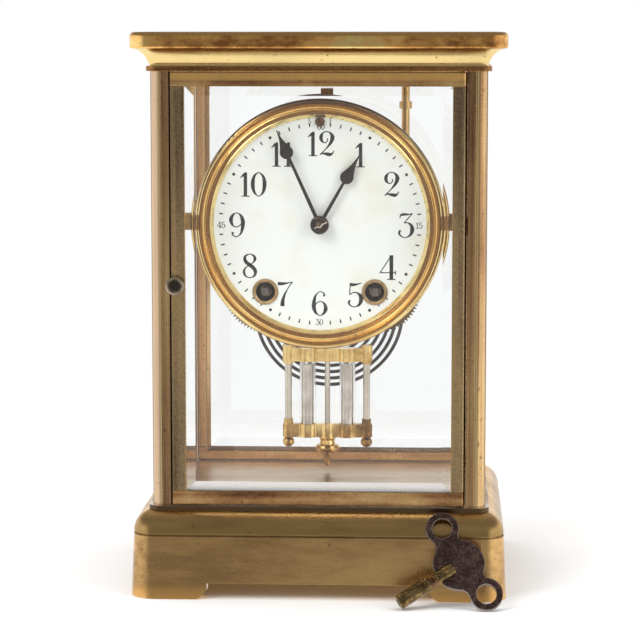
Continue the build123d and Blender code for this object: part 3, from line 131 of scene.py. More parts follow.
# bright and dark colour, roughness and fineness of the clouds of the plain metals
PLAIN_METALS = {
    # darker than the works brass: painted shade, for the barrels' teeth sit in shadow
    "barrel_brass": ((150, 118, 76), (84, 62, 42), 0.4, 60.0),
    "regulator_brown": ((112, 78, 54), (64, 44, 32), 0.4, 300.0),
    "eyelet_bronze": ((196, 164, 116), (124, 98, 66), 0.3, 300.0),
    "works_brass": ((222, 186, 122), (184, 144, 86), 0.3, 60.0),
    "dark_steel": ((112, 104, 100), (70, 62, 60), 0.36, 60.0),
    "hand_steel": ((68, 54, 47), (34, 27, 24), 0.42, 300.0),
    "nickel": ((236, 226, 214), (186, 174, 160), 0.16, 60.0),
    "bright_column": ((232, 220, 206), (184, 168, 152), 0.22, 180.0),
    "arbor_steel": ((104, 80, 60), (56, 42, 32), 0.4, 300.0),
    "pin_steel": ((246, 240, 232), (196, 186, 176), 0.35, 60.0),
    "rivet_bronze": ((196, 160, 104), (120, 92, 58), 0.3, 300.0),
    # nearly black: the eyelet sleeves are painted shade for the shadowed winding holes
    "shade_sleeve_dark": ((62, 42, 18), (26, 16, 7), 0.5, 60.0),
}

# the CAD nodes that wear each look; the others wear works_brass
NODES_OF_LOOK = {
    "post_brass": [
        "corner_post_front_left", "corner_post_front_right",
        "corner_post_rear_left", "corner_post_rear_right", "hinge_pins",
    ],
    "door_brass": ["front_door_frame"],
    "rear_door_brass": ["rear_door_frame"],
    "base_brass": ["base_plinth"],
    "cornice_brass": ["top_cornice"],
    "plate_brass": ["top_plate"],
    "front_knob": ["front_latch"],
    "rear_knob": ["rear_latch"],
    "floor_brass": ["floor_plate"],
    "bezel_brass": ["bezel"],
    "eyelet_bronze": ["winding_eyelets"],
    "regulator_brown": ["regulator_arbor"],
    "barrel_brass": ["time_barrel", "strike_barrel"],
    "pendulum_brass": ["pendulum_upper_frame", "pendulum_lower_frame", "pendulum_finials"],
    "dark_steel": [
        "gong_coil", "pillar_nuts", "time_winding_arbor", "strike_winding_arbor",
        "gong_hammer", "verge", "suspension_spring",
    ],
    "hand_steel": ["minute_hand", "hour_hand", "hand_collet"],
    "key_steel": ["key_wings"],
    "key_bronze": ["key_pipe"],
    "nickel": ["pendulum_rod", "pendulum_side_rods"],
    "bright_column": ["pendulum_mercury"],
    "pane": ["side_glass_left", "side_glass_right", "front_glass", "rear_glass"],
    "jar_glass": ["pendulum_jars"],
    "dial_enamel": ["dial"],
}

# strokes of the figures: least widths and gap for a figure one unit high, and a factor on widths
HAIRLINE, SMALL_HAIRLINE = 0.042, 0.1
LETTER_GAP = 0.08
STROKE_WEIGHT = 1.16

# figures as strokes through (across, up, width), for a figure one unit high
STROKES = {
    "0": [
        [
            (0.29, 0.985, 0.02), (0.11, 0.82, 0.09), (0.05, 0.5, 0.14), (0.11, 0.18, 0.09),
            (0.29, 0.015, 0.02), (0.47, 0.18, 0.09), (0.53, 0.5, 0.14), (0.47, 0.82, 0.09),
            (0.29, 0.985, 0.02),
        ]
    ],
    "1": [
        [(0.23, 0.0, 0.12), (0.23, 0.5, 0.12), (0.23, 0.95, 0.12)],
        [(0.28, 0.97, 0.05), (0.17, 0.88, 0.09), (0.02, 0.76, 0.012)],
        [(0.06, 0.01, 0.03), (0.23, 0.01, 0.03), (0.4, 0.01, 0.03)],
    ],
    "2": [
        [
            (0.34, 0.72, 0.012), (0.33, 0.6, 0.014), (0.22, 0.53, 0.022), (0.1, 0.63, 0.1),
            (0.08, 0.79, 0.12), (0.17, 0.94, 0.05), (0.32, 0.985, 0.02), (0.47, 0.91, 0.08),
            (0.54, 0.74, 0.145), (0.46, 0.52, 0.1), (0.25, 0.26, 0.035), (0.03, 0.05, 0.02),
        ],
        [
            (0.03, 0.05, 0.02), (0.14, 0.1, 0.045), (0.28, 0.085, 0.1), (0.43, 0.06, 0.12),
            (0.53, 0.1, 0.06), (0.6, 0.21, 0.012),
        ],
    ],
    "3": [
        [
            (0.1, 0.8, 0.014), (0.14, 0.92, 0.07), (0.28, 0.95, 0.09), (0.45, 0.95, 0.05),
            (0.61, 0.99, 0.018),
        ],
        [(0.61, 0.99, 0.016), (0.45, 0.81, 0.016), (0.27, 0.6, 0.016)],
        [
            (0.27, 0.6, 0.016), (0.42, 0.61, 0.04), (0.56, 0.5, 0.11), (0.6, 0.31, 0.145),
            (0.52, 0.11, 0.085), (0.34, 0.013, 0.024), (0.16, 0.06, 0.045), (0.07, 0.19, 0.075),
            (0.12, 0.31, 0.07),
        ],
    ],
    "4": [
        [(0.47, 0.0, 0.13), (0.47, 0.5, 0.13), (0.47, 1.0, 0.13)],
        [(0.47, 0.99, 0.03), (0.25, 0.65, 0.018), (0.01, 0.285, 0.014)],
        [(0.0, 0.285, 0.02), (0.32, 0.285, 0.02), (0.64, 0.285, 0.02)],
        [(0.64, 0.2, 0.018), (0.64, 0.285, 0.018), (0.64, 0.37, 0.018)],
        [(0.3, 0.01, 0.022), (0.47, 0.01, 0.022), (0.64, 0.01, 0.022)],
    ],
    "5": [
        [(0.11, 0.99, 0.022), (0.1, 0.75, 0.022), (0.09, 0.5, 0.022)],
        [(0.1, 0.925, 0.12), (0.25, 0.92, 0.1), (0.4, 0.94, 0.06), (0.56, 0.995, 0.015)],
        [
            (0.09, 0.5, 0.015), (0.22, 0.595, 0.03), (0.38, 0.59, 0.055), (0.53, 0.46, 0.13),
            (0.55, 0.28, 0.145), (0.46, 0.09, 0.085), (0.29, 0.013, 0.024), (0.13, 0.06, 0.045),
            (0.05, 0.18, 0.075), (0.1, 0.28, 0.07),
        ],
    ],
    "6": [
        [
            (0.46, 0.8, 0.08), (0.48, 0.88, 0.06), (0.4, 0.97, 0.03), (0.28, 0.975, 0.022),
            (0.13, 0.83, 0.07), (0.06, 0.55, 0.13), (0.06, 0.33, 0.14), (0.14, 0.12, 0.085),
            (0.3, 0.013, 0.022), (0.46, 0.1, 0.085), (0.54, 0.29, 0.135), (0.48, 0.5, 0.075),
            (0.34, 0.585, 0.02), (0.2, 0.54, 0.016), (0.1, 0.42, 0.014),
        ]
    ],
    "7": [
        [(0.02, 0.925, 0.12), (0.2, 0.92, 0.11), (0.4, 0.945, 0.055), (0.62, 0.99, 0.015)],
        [
            (0.62, 0.99, 0.016), (0.44, 0.74, 0.03), (0.29, 0.45, 0.08), (0.22, 0.2, 0.13),
            (0.21, 0.0, 0.15),
        ],
    ],
    "8": [
        [
            (0.3, 0.985, 0.02), (0.14, 0.91, 0.07), (0.09, 0.78, 0.105), (0.16, 0.64, 0.125),
            (0.3, 0.53, 0.13), (0.45, 0.41, 0.13), (0.53, 0.25, 0.12), (0.47, 0.08, 0.07),
            (0.3, 0.013, 0.022), (0.13, 0.08, 0.06), (0.06, 0.25, 0.085), (0.13, 0.42, 0.05),
            (0.3, 0.53, 0.022), (0.45, 0.65, 0.05), (0.51, 0.78, 0.1), (0.46, 0.91, 0.07),
            (0.3, 0.985, 0.02),
        ]
    ],
    "S": [
        [
            (0.5, 0.72, 0.02), (0.46, 0.9, 0.03), (0.3, 0.98, 0.05), (0.12, 0.88, 0.09),
            (0.12, 0.68, 0.12), (0.3, 0.52, 0.14), (0.48, 0.36, 0.12), (0.48, 0.14, 0.09),
            (0.3, 0.02, 0.05), (0.12, 0.1, 0.03), (0.08, 0.3, 0.02),
        ]
    ],
    "F": [
        [(0.16, 0.0, 0.15), (0.16, 0.5, 0.15), (0.16, 1.0, 0.15)],
        [(0.05, 0.98, 0.05), (0.3, 0.98, 0.05), (0.56, 0.98, 0.05)],
        [(0.16, 0.52, 0.05), (0.28, 0.52, 0.05), (0.42, 0.52, 0.05)],
        [(0.04, 0.02, 0.04), (0.16, 0.02, 0.04), (0.28, 0.02, 0.04)],
    ],
}


def srgb(red, green, blue):
    """A colour written as 0 to 255 for each channel, as linear RGBA."""
    def linear(value):
        part = value / 255
        return part / 12.92 if part <= 0.04045 else ((part + 0.055) / 1.055) ** 2.4

    return (linear(red), linear(green), linear(blue), 1.0)


def tones(*colours):
    return tuple(srgb(*colour) for colour in colours)


def middle_of(node):
    low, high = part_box(node)
    return (low + high) / 2


class Nodes:
    """Makes the node tree of one material or world, a node at a time."""

    def __init__(self, owner, output="ShaderNodeOutputMaterial"):
        owner.use_nodes = True
        self.owner = owner
        self.tree = owner.node_tree
        self.tree.nodes.clear()
        self.output = self.tree.nodes.new(output)

    def add(self, kind, inputs=None, **settings):
        node = self.tree.nodes.new(kind)
        for key, value in settings.items():
            setattr(node, key, value)
        for key, value in (inputs or {}).items():
            self.feed(node.inputs[key], value)
        return node

    def feed(self, socket, value):
        """Links a socket to another one, or sets it to a constant."""
        if isinstance(value, bpy.types.NodeSocket):
            self.tree.links.new(value, socket)
        else:
            socket.default_value = value

    def calc(self, operation, *values):
        inputs = dict(enumerate(values))
        return self.add("ShaderNodeMath", inputs, operation=operation).outputs[0]

    def vector(self, operation, values, output="Vector"):
        inputs = dict(enumerate(values))
        return self.add("ShaderNodeVectorMath", inputs, operation=operation).outputs[output]

    def split(self, vector):
        return self.add("ShaderNodeSeparateXYZ", {0: vector}).outputs

    def where(self, kind="Object"):
        """Coordinates of the piece itself, or its own normal."""
        return self.add("ShaderNodeTexCoord").outputs[kind]

    def normal(self):
        return self.add("ShaderNodeNewGeometry").outputs["Normal"]

    def noise(self, scale, detail=4.0, rough=0.55, stretch=EVEN):
        place = self.add("ShaderNodeMapping", {"Vector": self.where(), "Scale": stretch}).outputs[0]
        inputs = {"Vector": place, "Scale": scale, "Detail": detail, "Roughness": rough}
        return self.add("ShaderNodeTexNoise", inputs).outputs["Fac"]

    def rescale(self, value, low, high, start=0.0, end=1.0, **settings):
        """A value that goes from start to end while the given one goes from low to high."""
        inputs = {"Value": value, "From Min": low, "From Max": high, "To Min": start, "To Max": end}
        return self.add("ShaderNodeMapRange", inputs, **settings).outputs["Result"]

    def span(self, value, start, end):
        """A value from 0 to 1 spread from start to end."""
        return self.rescale(value, 0.0, 1.0, start, end)

    def ramp(self, value, stops):
        """Colours along a value, as (position, colour) pairs."""
        node = self.add("ShaderNodeValToRGB", {"Fac": value})
        elements = node.color_ramp.elements
        while len(elements) < len(stops):
            elements.new(1.0)
        for element, (position, colour) in zip(elements, stops):
            element.position = position
            element.color = colour
        return node.outputs["Color"]

    def tinted(self, tone, colours, stops=TONE_STOPS):
        """Colours from dark to bright along a tone."""
        return self.ramp(tone, list(zip(stops, colours)))

    def shares(self, value, stops):
        """A share that changes with a length, as (length in mm, share) pairs."""
        low, high = stops[0][0], stops[-1][0]
        place = self.rescale(value, low * MM, high * MM)
        return self.ramp(place, [((at - low) / (high - low), (v, v, v, 1.0)) for at, v in stops])

    def along(self, axis, stops, mirrored=False):
        """A share that changes along one axis, or alike on both sides of its zero."""
        value = self.split(self.where())[axis]
        return self.shares(self.calc("ABSOLUTE", value) if mirrored else value, stops)

    def around(self, x, z, stops):
        """A share that changes with the distance from a line along Y, given in mm."""
        away = self.vector("SUBTRACT", (self.where(), (x * MM, 0.0, z * MM)))
        flat = self.vector("MULTIPLY", (away, (1, 0, 1)))
        return self.shares(self.vector("LENGTH", (flat,), "Value"), stops)

    def mix(self, share, first, second):
        """A mix of two colours."""
        node = self.add("ShaderNodeMix", {"Factor": share}, data_type="RGBA")
        for socket, colour in zip(node.inputs[6:8], (first, second)):
            self.feed(socket, colour)
        return node.outputs[2]

    def bump(self, height, strength, distance, normal=None):
        inputs = {"Height": height, "Strength": strength, "Distance": distance}
        if normal is not None:
            inputs["Normal"] = normal
        return self.add("ShaderNodeBump", inputs).outputs["Normal"]

    def blend(self, share, first, second):
        """A mix of two shaders."""
        return self.add("ShaderNodeMixShader", {0: share, 1: first, 2: second}).outputs[0]

    def show(self, shader):
        """Ends the tree with a shader."""
        self.feed(self.output.inputs["Surface"], shader)
        return self.owner

    def surface(self, inputs):
        return self.show(self.add("ShaderNodeBsdfPrincipled", inputs).outputs[0])


def new_material(name):
    return Nodes(bpy.data.materials.new(name))


def tone_of(n, streak, weights, stains=16.0):
    """How bright the brass is from place to place: broad stains, drawn streaks and fine grain."""
    drawn = tuple(max(share, LEAST_STRETCH) for share in streak)
    fields = [
        n.noise(stains, 5.0, 0.6, drawn),
        n.noise(STREAKS, 3.0, 0.6, streak),
        n.noise(GRAIN, 3.0, 0.7),
    ]
    total = n.calc("MULTIPLY", fields[0], weights[0])
    for field, weight in zip(fields[1:], weights[1:]):
        total = n.calc("MULTIPLY_ADD", field, weight, total)
    middle, reach = sum(weights) / 2, TONE_REACH * math.hypot(*weights)
    return n.rescale(total, middle - reach, middle + reach)


def worn_edges(n, width):
    """A share that is 1 on sharp edges, where brown comes off and a highlight is painted, and the
    soft normal there.
    """
    soft = n.add("ShaderNodeBevel", {"Radius": width * MM}, samples=4).outputs[0]
    level = n.vector("DOT_PRODUCT", (soft, n.normal()), "Value")
    return n.ramp(level, [(0.86, WHITE), (0.985, BLACK)]), soft


def brass(n, colour, tone, rough, streak, bright, edge, gap_shade=None):
    """The surface of old brass, with bright edges that are part wear and part painted highlight,
    and, where a gap shade mask is given, painted black shade.
    """
    pits = n.ramp(n.noise(PITS, 2.0, 0.5), [(0.7, BLACK), (0.76, WHITE)])
    spotted = n.mix(n.span(pits, 0.0, 0.55), colour, srgb(70, 48, 32))
    rubbed_and_highlit, soft = worn_edges(n, edge)
    shown = n.mix(n.span(rubbed_and_highlit, 0.0, 0.8), spotted, bright)
    metallic = 1.0
    if gap_shade is not None:
        # painted black shade in the gaps between parts
        shown = n.mix(gap_shade, shown, srgb(30, 22, 16))
        metallic = n.span(gap_shade, 1.0, 0.0)
    return n.surface(
        {
            "Base Color": shown,
            "Metallic": metallic,
            "Specular IOR Level": 0.0,
            "Roughness": n.span(tone, rough + 0.08, rough - 0.06),
            "Normal": n.bump(n.noise(STREAKS, 3.0, 0.6, streak), 0.06, 0.05 * MM, soft),
        }
    )


def aged_metal(
    name, colours, rough, streak=EVEN, weights=(0.7, 0.7, 1.0), bands=(), edge=0.5, stains=16.0
):
    """Brass gone brown, in colours from dark to bright. bands lists (stops, colour): how much of a
    colour shows at each height, as (height in mm, share) pairs."""
    n = new_material(name)
    tone = tone_of(n, streak, weights, stains)
    colour = n.tinted(tone, colours)
    for stops, painted in bands:
        colour = n.mix(n.along("Z", stops), colour, painted)
    return brass(n, colour, tone, rough, streak, colours[2], edge)


def post_metal(name, colours, rough, streak, weights, pale):
    """The corner posts: a painted pale highlight on the round of the left ones, a painted highlight
    on each arris, and painted black shade in the gap beside the front door.
    """
    n = new_material(name)
    tone = tone_of(n, streak, weights)
    inner, outer = POST_SIDES
    # painted pale highlight on the round of the left posts
    painted_sheen = n.along("X", [(-outer, 0.7), (3.6 - outer, 0.65), (4.8 - outer, 0)])
    shown = n.mix(painted_sheen, n.tinted(tone, colours), pale)
    # painted highlight along the arris
    shown = n.mix(n.along("X", POST_ARRIS_HIGHLIGHT, True), shown, srgb(255, 224, 162))
    # painted black shade in the gap beside the front door
    beside = n.along("X", [(inner, 1), (inner + 0.15, 1), (inner + 0.35, 0)], True)
    gap_shade = n.calc("MULTIPLY", beside, n.along("Y", POST_FRONT))
    return brass(n, shown, tone, rough, streak, colours[2], 0.3, gap_shade)


def door_metal(name, stile_colours, rail_colours, rough):
    """A door frame whose stiles stand between its rails: a fine line at each joint, a painted sheen
    on the top rail towards its upper edge, a painted highlight along the top, and painted black
    shade round the rim of both faces, where the gaps are."""
    n = new_material(name)
    low, high = DOOR_JOINTS
    side, bottom, top = DOOR_EDGES
    ends = [(low - 1, 1), (low, 1), (low + 0.1, 0), (high - 0.1, 0), (high, 1), (high + 1, 1)]
    tone = tone_of(n, UPRIGHT, (0.8, 0.7, 0.6))
    rail_colour = n.tinted(tone_of(n, ACROSS, (1.0, 0.4, 0.3), 55.0), rail_colours)
    # painted sheen on the upper part of the top rail
    shine = n.along("Z", [(high + 2.2, 0), (high + 3.6, 0.8), (high + 6.5, 0.9)])
    rail_colour = n.mix(shine, rail_colour, rail_colours[2])
    colour = n.mix(n.along("Z", ends), n.tinted(tone, stile_colours), rail_colour)
    for at in DOOR_JOINTS:
        line = [(at - 0.28, 0), (at - 0.08, 0.85), (at + 0.08, 0.85), (at + 0.28, 0)]
        colour = n.mix(n.along("Z", line), colour, srgb(40, 28, 20))
    # painted highlight along the top of the frame
    gleam = n.along("Z", [(top - 4.2, 0), (top - 3.0, 0.6), (top, 0.6)])
    colour = n.mix(gleam, colour, srgb(255, 196, 108))
    # painted black shade round the rim of both faces, where the gaps are
    sides = n.along("X", [(side - 0.35, 0), (side - 0.15, 1), (side, 1)], True)
    lower = [(bottom, 1), (bottom + 0.2, 1), (bottom + 0.4, 0)]
    upper = [(top - 0.4, 0), (top - 0.2, 1), (top, 1)]
    rim = n.calc("MAXIMUM", sides, n.along("Z", lower + upper))
    flat = n.calc("ABSOLUTE", n.split(n.where("Normal"))["Y"])
    gap_shade = n.calc("MULTIPLY", rim, flat)
    return brass(n, colour, tone, rough, EVEN, rail_colours[2], 0.4, gap_shade)


def bezel_metal(name, colours, brown, rough):
    """Gold brass with a painted highlight on its lip, painted dark reflections in rings on the
    beads and painted shade on the upper rim.
    """
    n = new_material(name)
    tone = tone_of(n, EVEN, (0.8, 0.1, 0.2))
    middle = middle_of("dial")
    x, z = middle.x / MM, middle.z / MM
    start = BEZEL_DARK_RINGS[0][0]
    # painted highlight on the bezel's lip
    lip = n.around(x, z, [(start, 0.6), (start + 1.0, 0.6), (start + 1.3, 0)])
    shown = n.mix(lip, n.tinted(tone, colours), colours[2])
    # painted dark reflections in rings on the beads
    shown = n.mix(n.around(x, z, BEZEL_DARK_RINGS), shown, brown)
    # painted shade on the upper rim
    upper = n.along("Z", [(z + 10, 0), (z + 35, 1)])
    rim_shade = n.calc("MULTIPLY", n.around(x, z, BEZEL_RIM_SHADE), upper)
    shown = n.mix(rim_shade, shown, srgb(96, 70, 44))
    return brass(n, shown, tone, rough, EVEN, colours[2], 0.1)


def latch_metal(name, side):
    """Worn bright metal round a dark hole in the end of the knob."""
    n = new_material(name)
    cloud = n.noise(400.0, 4.0, 0.6)
    colour = n.ramp(cloud, [(0.3, srgb(124, 106, 86)), (0.7, srgb(206, 192, 168))])
    # painted shade: a dark disc where the hole in the knob's end is
    hole = n.around(side * LATCH_AT[0], LATCH_AT[1], LATCH_HOLE)
    return n.surface(
        {
            "Base Color": n.mix(hole, colour, srgb(46, 42, 38)),
            "Metallic": n.span(hole, 1.0, 0.0),
            "Roughness": n.span(cloud, 0.4, 0.26),
            "Specular IOR Level": 0.0,
            "Normal": n.bump(n.noise(1400.0, 2.0), 0.12, 0.04 * MM),
        }
    )


def floor_metal(name, colours, front_reflection, edge_colour, rough):
    """Brushed plate, pale on top, with a painted reflection that makes it paler at the front, and
    brown on its edges.
    """
    n = new_material(name)
    tone = tone_of(n, ACROSS, (0.9, 0.2, 0.3), 30.0)
    # painted reflection: paler towards the front
    pale = n.mix(n.along("Y", FLOOR_FRONT_REFLECTION), n.tinted(tone, colours), front_reflection)
    top = n.ramp(n.split(n.normal())["Z"], [(0.4, BLACK), (0.6, WHITE)])
    shown = n.mix(top, edge_colour, pale)
    return brass(n, shown, tone, rough, ACROSS, colours[1], 0.4)


def plain_metal(name):
    """Metal with slight changes of tone and polish."""
    bright, dark, rough, scale = PLAIN_METALS[name]
    n = new_material(name)
    cloud = n.noise(scale, 5.0, 0.6)
    return n.surface(
        {
            "Base Color": n.ramp(cloud, [(0.3, srgb(*dark)), (0.7, srgb(*bright))]),
            "Metallic": 1.0,
            "Roughness": n.span(cloud, rough + 0.08, rough - 0.05),
            "Normal": n.bump(n.noise(1400.0, 2.0), 0.12, 0.04 * MM),
        }
    )


def key_steel(name):
    """Dark speckled steel with bright edges, part wear and part painted highlight."""
    n = new_material(name)
    tone = tone_of(n, EVEN, (0.5, 0.5, 1.0))
    colours = tones((50, 36, 36), (98, 76, 70), (152, 126, 116))
    colour = n.tinted(tone, colours, (0.1, 0.55, 0.95))
    return brass(n, colour, tone, 0.36, EVEN, srgb(240, 230, 222), 0.5)


def pipe_bronze(name):
    """Brown bronze, with a redder neck between the collar and the tube."""
    n = new_material(name)
    tone = tone_of(n, EVEN, (0.6, 0.6, 0.8))
    colours = tones((62, 48, 32), (116, 94, 60), (190, 160, 108))
    colour = n.tinted(tone, colours, (0.1, 0.5, 0.95))
    far = n.vector("DOT_PRODUCT", (n.where(), KEY_AXIS), "Value")
    start, end = ((KEY_MIDDLE.dot(KEY_AXIS) + at) * MM for at in KEY_NECK)
    stops = [(0.0, BLACK), (0.06, WHITE), (0.94, WHITE), (1.0, BLACK)]
    neck = n.ramp(n.rescale(far, start, end), stops)
    shown = n.mix(neck, colour, srgb(112, 74, 58))
    return brass(n, shown, tone, 0.3, EVEN, srgb(230, 196, 130), 0.35)


def clear_glass(name, tint, white_reflection=0.0):
    """Glass that lets the lamps reach what is behind it, with a painted white reflection on
    facets that face down.
    """
    n = new_material(name)
    inputs = {
        "Base Color": tint,
        "Roughness": 0.0,
        "IOR": 1.5,
        "Transmission Weight": 1.0,
        "Normal": n.bump(n.noise(14.0, 2.0), 0.02, 0.2 * MM),
    }
    shown = n.add("ShaderNodeBsdfPrincipled", inputs).outputs[0]
    # painted white reflection on facets that face down
    if white_reflection:
        share = n.rescale(n.split(n.normal())["Z"], -0.04, -0.02, white_reflection, 0.0)
        white = n.add("ShaderNodeBsdfDiffuse", {"Color": (0.86, 0.86, 0.85, 1.0)}).outputs[0]
        shown = n.blend(share, shown, white)
    clear = n.add("ShaderNodeBsdfTransparent", {"Color": (0.97, 0.98, 0.97, 1.0)}).outputs[0]
    path = n.add("ShaderNodeLightPath").outputs
    light = n.calc("MAXIMUM", path["Is Shadow Ray"], path["Is Diffuse Ray"])
    return n.show(n.blend(light, shown, clear))


def enamel(name):
    """White dial paint with a faint yellow bloom."""
    n = new_material(name)
    stops = [(0.52, srgb(251, 251, 248)), (0.8, srgb(243, 238, 220))]
    return n.surface(
        {
            "Base Color": n.ramp(n.noise(38.0, 4.0, 0.6), stops),
            "Roughness": 0.32,
            "Specular IOR Level": 0.3,
            "Normal": n.bump(n.noise(90.0, 3.0), 0.05, 0.1 * MM),
        }
    )


def ink(name, colour):
    """Printed colour, faded in places."""
    n = new_material(name)
    faded = tuple(0.7 * c + 0.3 * 0.25 for c in colour[:3]) + (1.0,)
    return n.surface(
        {
            "Base Color": n.ramp(n.noise(700.0, 3.0, 0.6), [(0.45, colour), (0.8, faded)]),
            "Roughness": 0.5,
            "Specular IOR Level": 0.2,
        }
    )


def make_looks():
    """Every material that the CAD nodes wear, by name."""
    olive = tones((170, 134, 88), (208, 166, 110), (238, 194, 126))
    stile = tones((122, 100, 76), (178, 150, 114), (232, 196, 140))
    rail = tones((122, 84, 54), (204, 152, 102), (255, 214, 146))
    copper = tones((178, 132, 88), (220, 172, 120), (250, 210, 152))
    brown = tones((124, 92, 66), (196, 152, 108), (250, 214, 150))
    slab = tones((164, 110, 60), (255, 194, 112), (255, 228, 150))
    plate = tones((112, 76, 46), (164, 116, 70), (220, 172, 108))
    gilt = tones((192, 150, 88), (246, 210, 136), (255, 234, 168))
    bob = tones((134, 98, 54), (206, 166, 100), (250, 218, 148))
    pale = tones((184, 158, 130), (206, 184, 158), (224, 206, 184))
    foot = ([(0, 0.8), (2.5, 0.6), (7.5, 0)], srgb(246, 188, 108))
    groove = ([(28.8, 0), (29.1, 0.5), (29.9, 0.5), (30.3, 0)], srgb(80, 62, 40))
    # painted shade on the ovolo, heaviest at its foot and lightest at mid height, where its
    # highlight falls
    ovolo = (
        [(29.8, 0), (30.3, 0.95), (31.6, 0.9), (34.2, 0.45), (36.4, 0.75), (38.2, 0)],
        srgb(176, 144, 92),
    )
    # painted highlight along the top of the ovolo
    lip = ([(38.0, 0), (39.0, 0.6), (40, 0.6)], srgb(255, 206, 130))
    # painted reflection: the cove bright gold right up under the slab
    cove = ([(244.5, 0.9), (252.3, 0.9), (252.5, 0)], srgb(255, 228, 158))
    crown = ([(257.8, 0), (258.6, 0.9), (260, 0.9)], srgb(206, 162, 100))
    recipes = [
        # the last colour here is the posts' painted pale highlight
        (post_metal, "post_brass", brown, 0.22, UPRIGHT, (0.9, 1.0, 0.3), srgb(236, 206, 172)),
        (door_metal, "door_brass", stile, rail, 0.28),
        (door_metal, "rear_door_brass", copper, copper, 0.3),
        (
            aged_metal, "base_brass", olive, 0.27, (0.2, 1, 1), (0.6, 0.3, 0.25),
            [ovolo, lip, foot, groove], 0.15, 30.0,
        ),
        (
            aged_metal, "cornice_brass", slab, 0.22, (0.5, 1, 1), (1.0, 0.4, 0.2),
            [cove, crown], 0.5, 40.0,
        ),
        (aged_metal, "plate_brass", plate, 0.28, ACROSS),
        # the second colour here is the floor plate's painted front reflection
        (floor_metal, "floor_brass", pale, srgb(244, 236, 224), srgb(104, 82, 58), 0.3),
        # the colour here is the bezel's painted dark reflection in rings
        (bezel_metal, "bezel_brass", gilt, srgb(138, 90, 24), 0.15),
        (aged_metal, "pendulum_brass", bob, 0.2, EVEN, (0.7, 0.1, 0.1), (), 0.2, 45.0),
        (plain_metal, "barrel_brass"),
        (plain_metal, "regulator_brown"),
        (plain_metal, "eyelet_bronze"),
        (latch_metal, "front_knob", -1),
        (latch_metal, "rear_knob", 1),
        (plain_metal, "works_brass"),
        (plain_metal, "dark_steel"),
        (plain_metal, "hand_steel"),
        (key_steel, "key_steel"),
        (pipe_bronze, "key_bronze"),
        (plain_metal, "nickel"),
        (plain_metal, "bright_column"),
        # 0.8 is the share of the painted white reflection on the glass's downward facets
        (clear_glass, "pane", (0.985, 0.995, 0.99, 1.0), 0.8),
        (clear_glass, "jar_glass", (0.99, 0.99, 0.99, 1.0)),
        (enamel, "dial_enamel"),
    ]
    return {name: make(name, *details) for make, name, *details in recipes}


def dress_nodes(nodes):
    """Gives every CAD node its material."""
    looks = make_looks()
    look_of = {node: look for look, members in NODES_OF_LOOK.items() for node in members}
    for node, shown in nodes.items():
        shown.data.materials.clear()
        shown.data.materials.append(looks[look_of.get(node, "works_brass")])


def catmull(points, steps=10):
    """Points along a smooth line through (across, up, width) points."""
    def between(a, b, c, d, t):
        square, cube = 2 * a - 5 * b + 4 * c - d, 3 * b - a - 3 * c + d
        return 0.5 * (2 * b + (c - a) * t + square * t**2 + cube * t**3)

    line = []
    for i in range(len(points) - 1):
        before = points[i - 1] if i else points[0]
        after = points[i + 2] if i + 2 < len(points) else points[-1]
        corners = list(zip(before, points[i], points[i + 1], after))
        for step in range(steps):
            line.append(tuple(between(*four, step / steps) for four in corners))
    line.append(points[-1])
    return line


def ribbon(points, least):
    """A flat stroke as (vertices, faces) from points along its middle."""
    line = catmull(points)
    verts, faces = [], []
    for i, (x, z, wide) in enumerate(line):
        ahead, behind = line[min(i + 1, len(line) - 1)], line[max(i - 1, 0)]
        dx, dz = ahead[0] - behind[0], ahead[1] - behind[1]
        long = math.hypot(dx, dz) or 1.0
        off = max(STROKE_WEIGHT * wide, least) / 2
        verts.append((x - dz / long * off, z + dx / long * off))
        verts.append((x + dz / long * off, z - dx / long * off))
        if i:
            faces.append((2 * i - 2, 2 * i - 1, 2 * i + 1, 2 * i))
    return verts, faces


def strokes_of(character):
    """The strokes of a figure or letter; a 9 is a 6 upside down."""
    if character == "9":
        return [[(0.6 - x, 1.0 - z, w) for x, z, w in stroke] for stroke in STROKES["6"]]
    return STROKES[character]


def advance(character):
    """How far the next character stands from the start of this one."""
    return max(point[0] for stroke in strokes_of(character) for point in stroke) + LETTER_GAP


def written(text, at, height, least=HAIRLINE):
    """Flat (vertices, faces) of a word centred at a place on the dial, in mm."""
    verts, faces = [], []
    start = (LETTER_GAP - sum(advance(character) for character in text)) / 2
    for character in text:
        for stroke in strokes_of(character):
            points, quads = ribbon(stroke, least)
            first = len(verts)
            verts += [(at[0] + (start + x) * height, at[1] + (z - 0.5) * height) for x, z in points]
            faces += [tuple(first + i for i in quad) for quad in quads]
        start += advance(character)
    return verts, faces


def dot(at, radius, sides=20):
    turns = [2 * math.pi * i / sides for i in range(sides)]
    verts = [(at[0] + radius * math.cos(turn), at[1] + radius * math.sin(turn)) for turn in turns]
    return verts, [tuple(range(sides))]


def dash(at, angle, size):
    """A short bar pointing away from the middle of the dial."""
    along, across = (math.sin(angle), math.cos(angle)), (math.cos(angle), -math.sin(angle))
    corners = []
    for a, b in ((-1, -1), (1, -1), (1, 1), (-1, 1)):
        x = at[0] + along[0] * a * size[0] / 2 + across[0] * b * size[1] / 2
        z = at[1] + along[1] * a * size[0] / 2 + across[1] * b * size[1] / 2
        corners.append((x, z))
    return corners, [(0, 1, 2, 3)]


def piece(name, shapes, body, material, smooth=True):
    """One object from shapes given in mm in the frame of the part."""
    verts, faces = [], []
    for points, polygons in shapes:
        first = len(verts)
        verts += [Vector(point) * MM for point in points]
        faces += [tuple(first + i for i in polygon) for polygon in polygons]
    mesh = bpy.data.meshes.new(name)
    mesh.from_pydata(verts, [], faces)
    mesh.materials.append(material)
    if smooth:
        mesh.shade_smooth()
    made = bpy.data.objects.new(name, mesh)
    bpy.context.scene.collection.objects.link(made)
    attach(made, body)


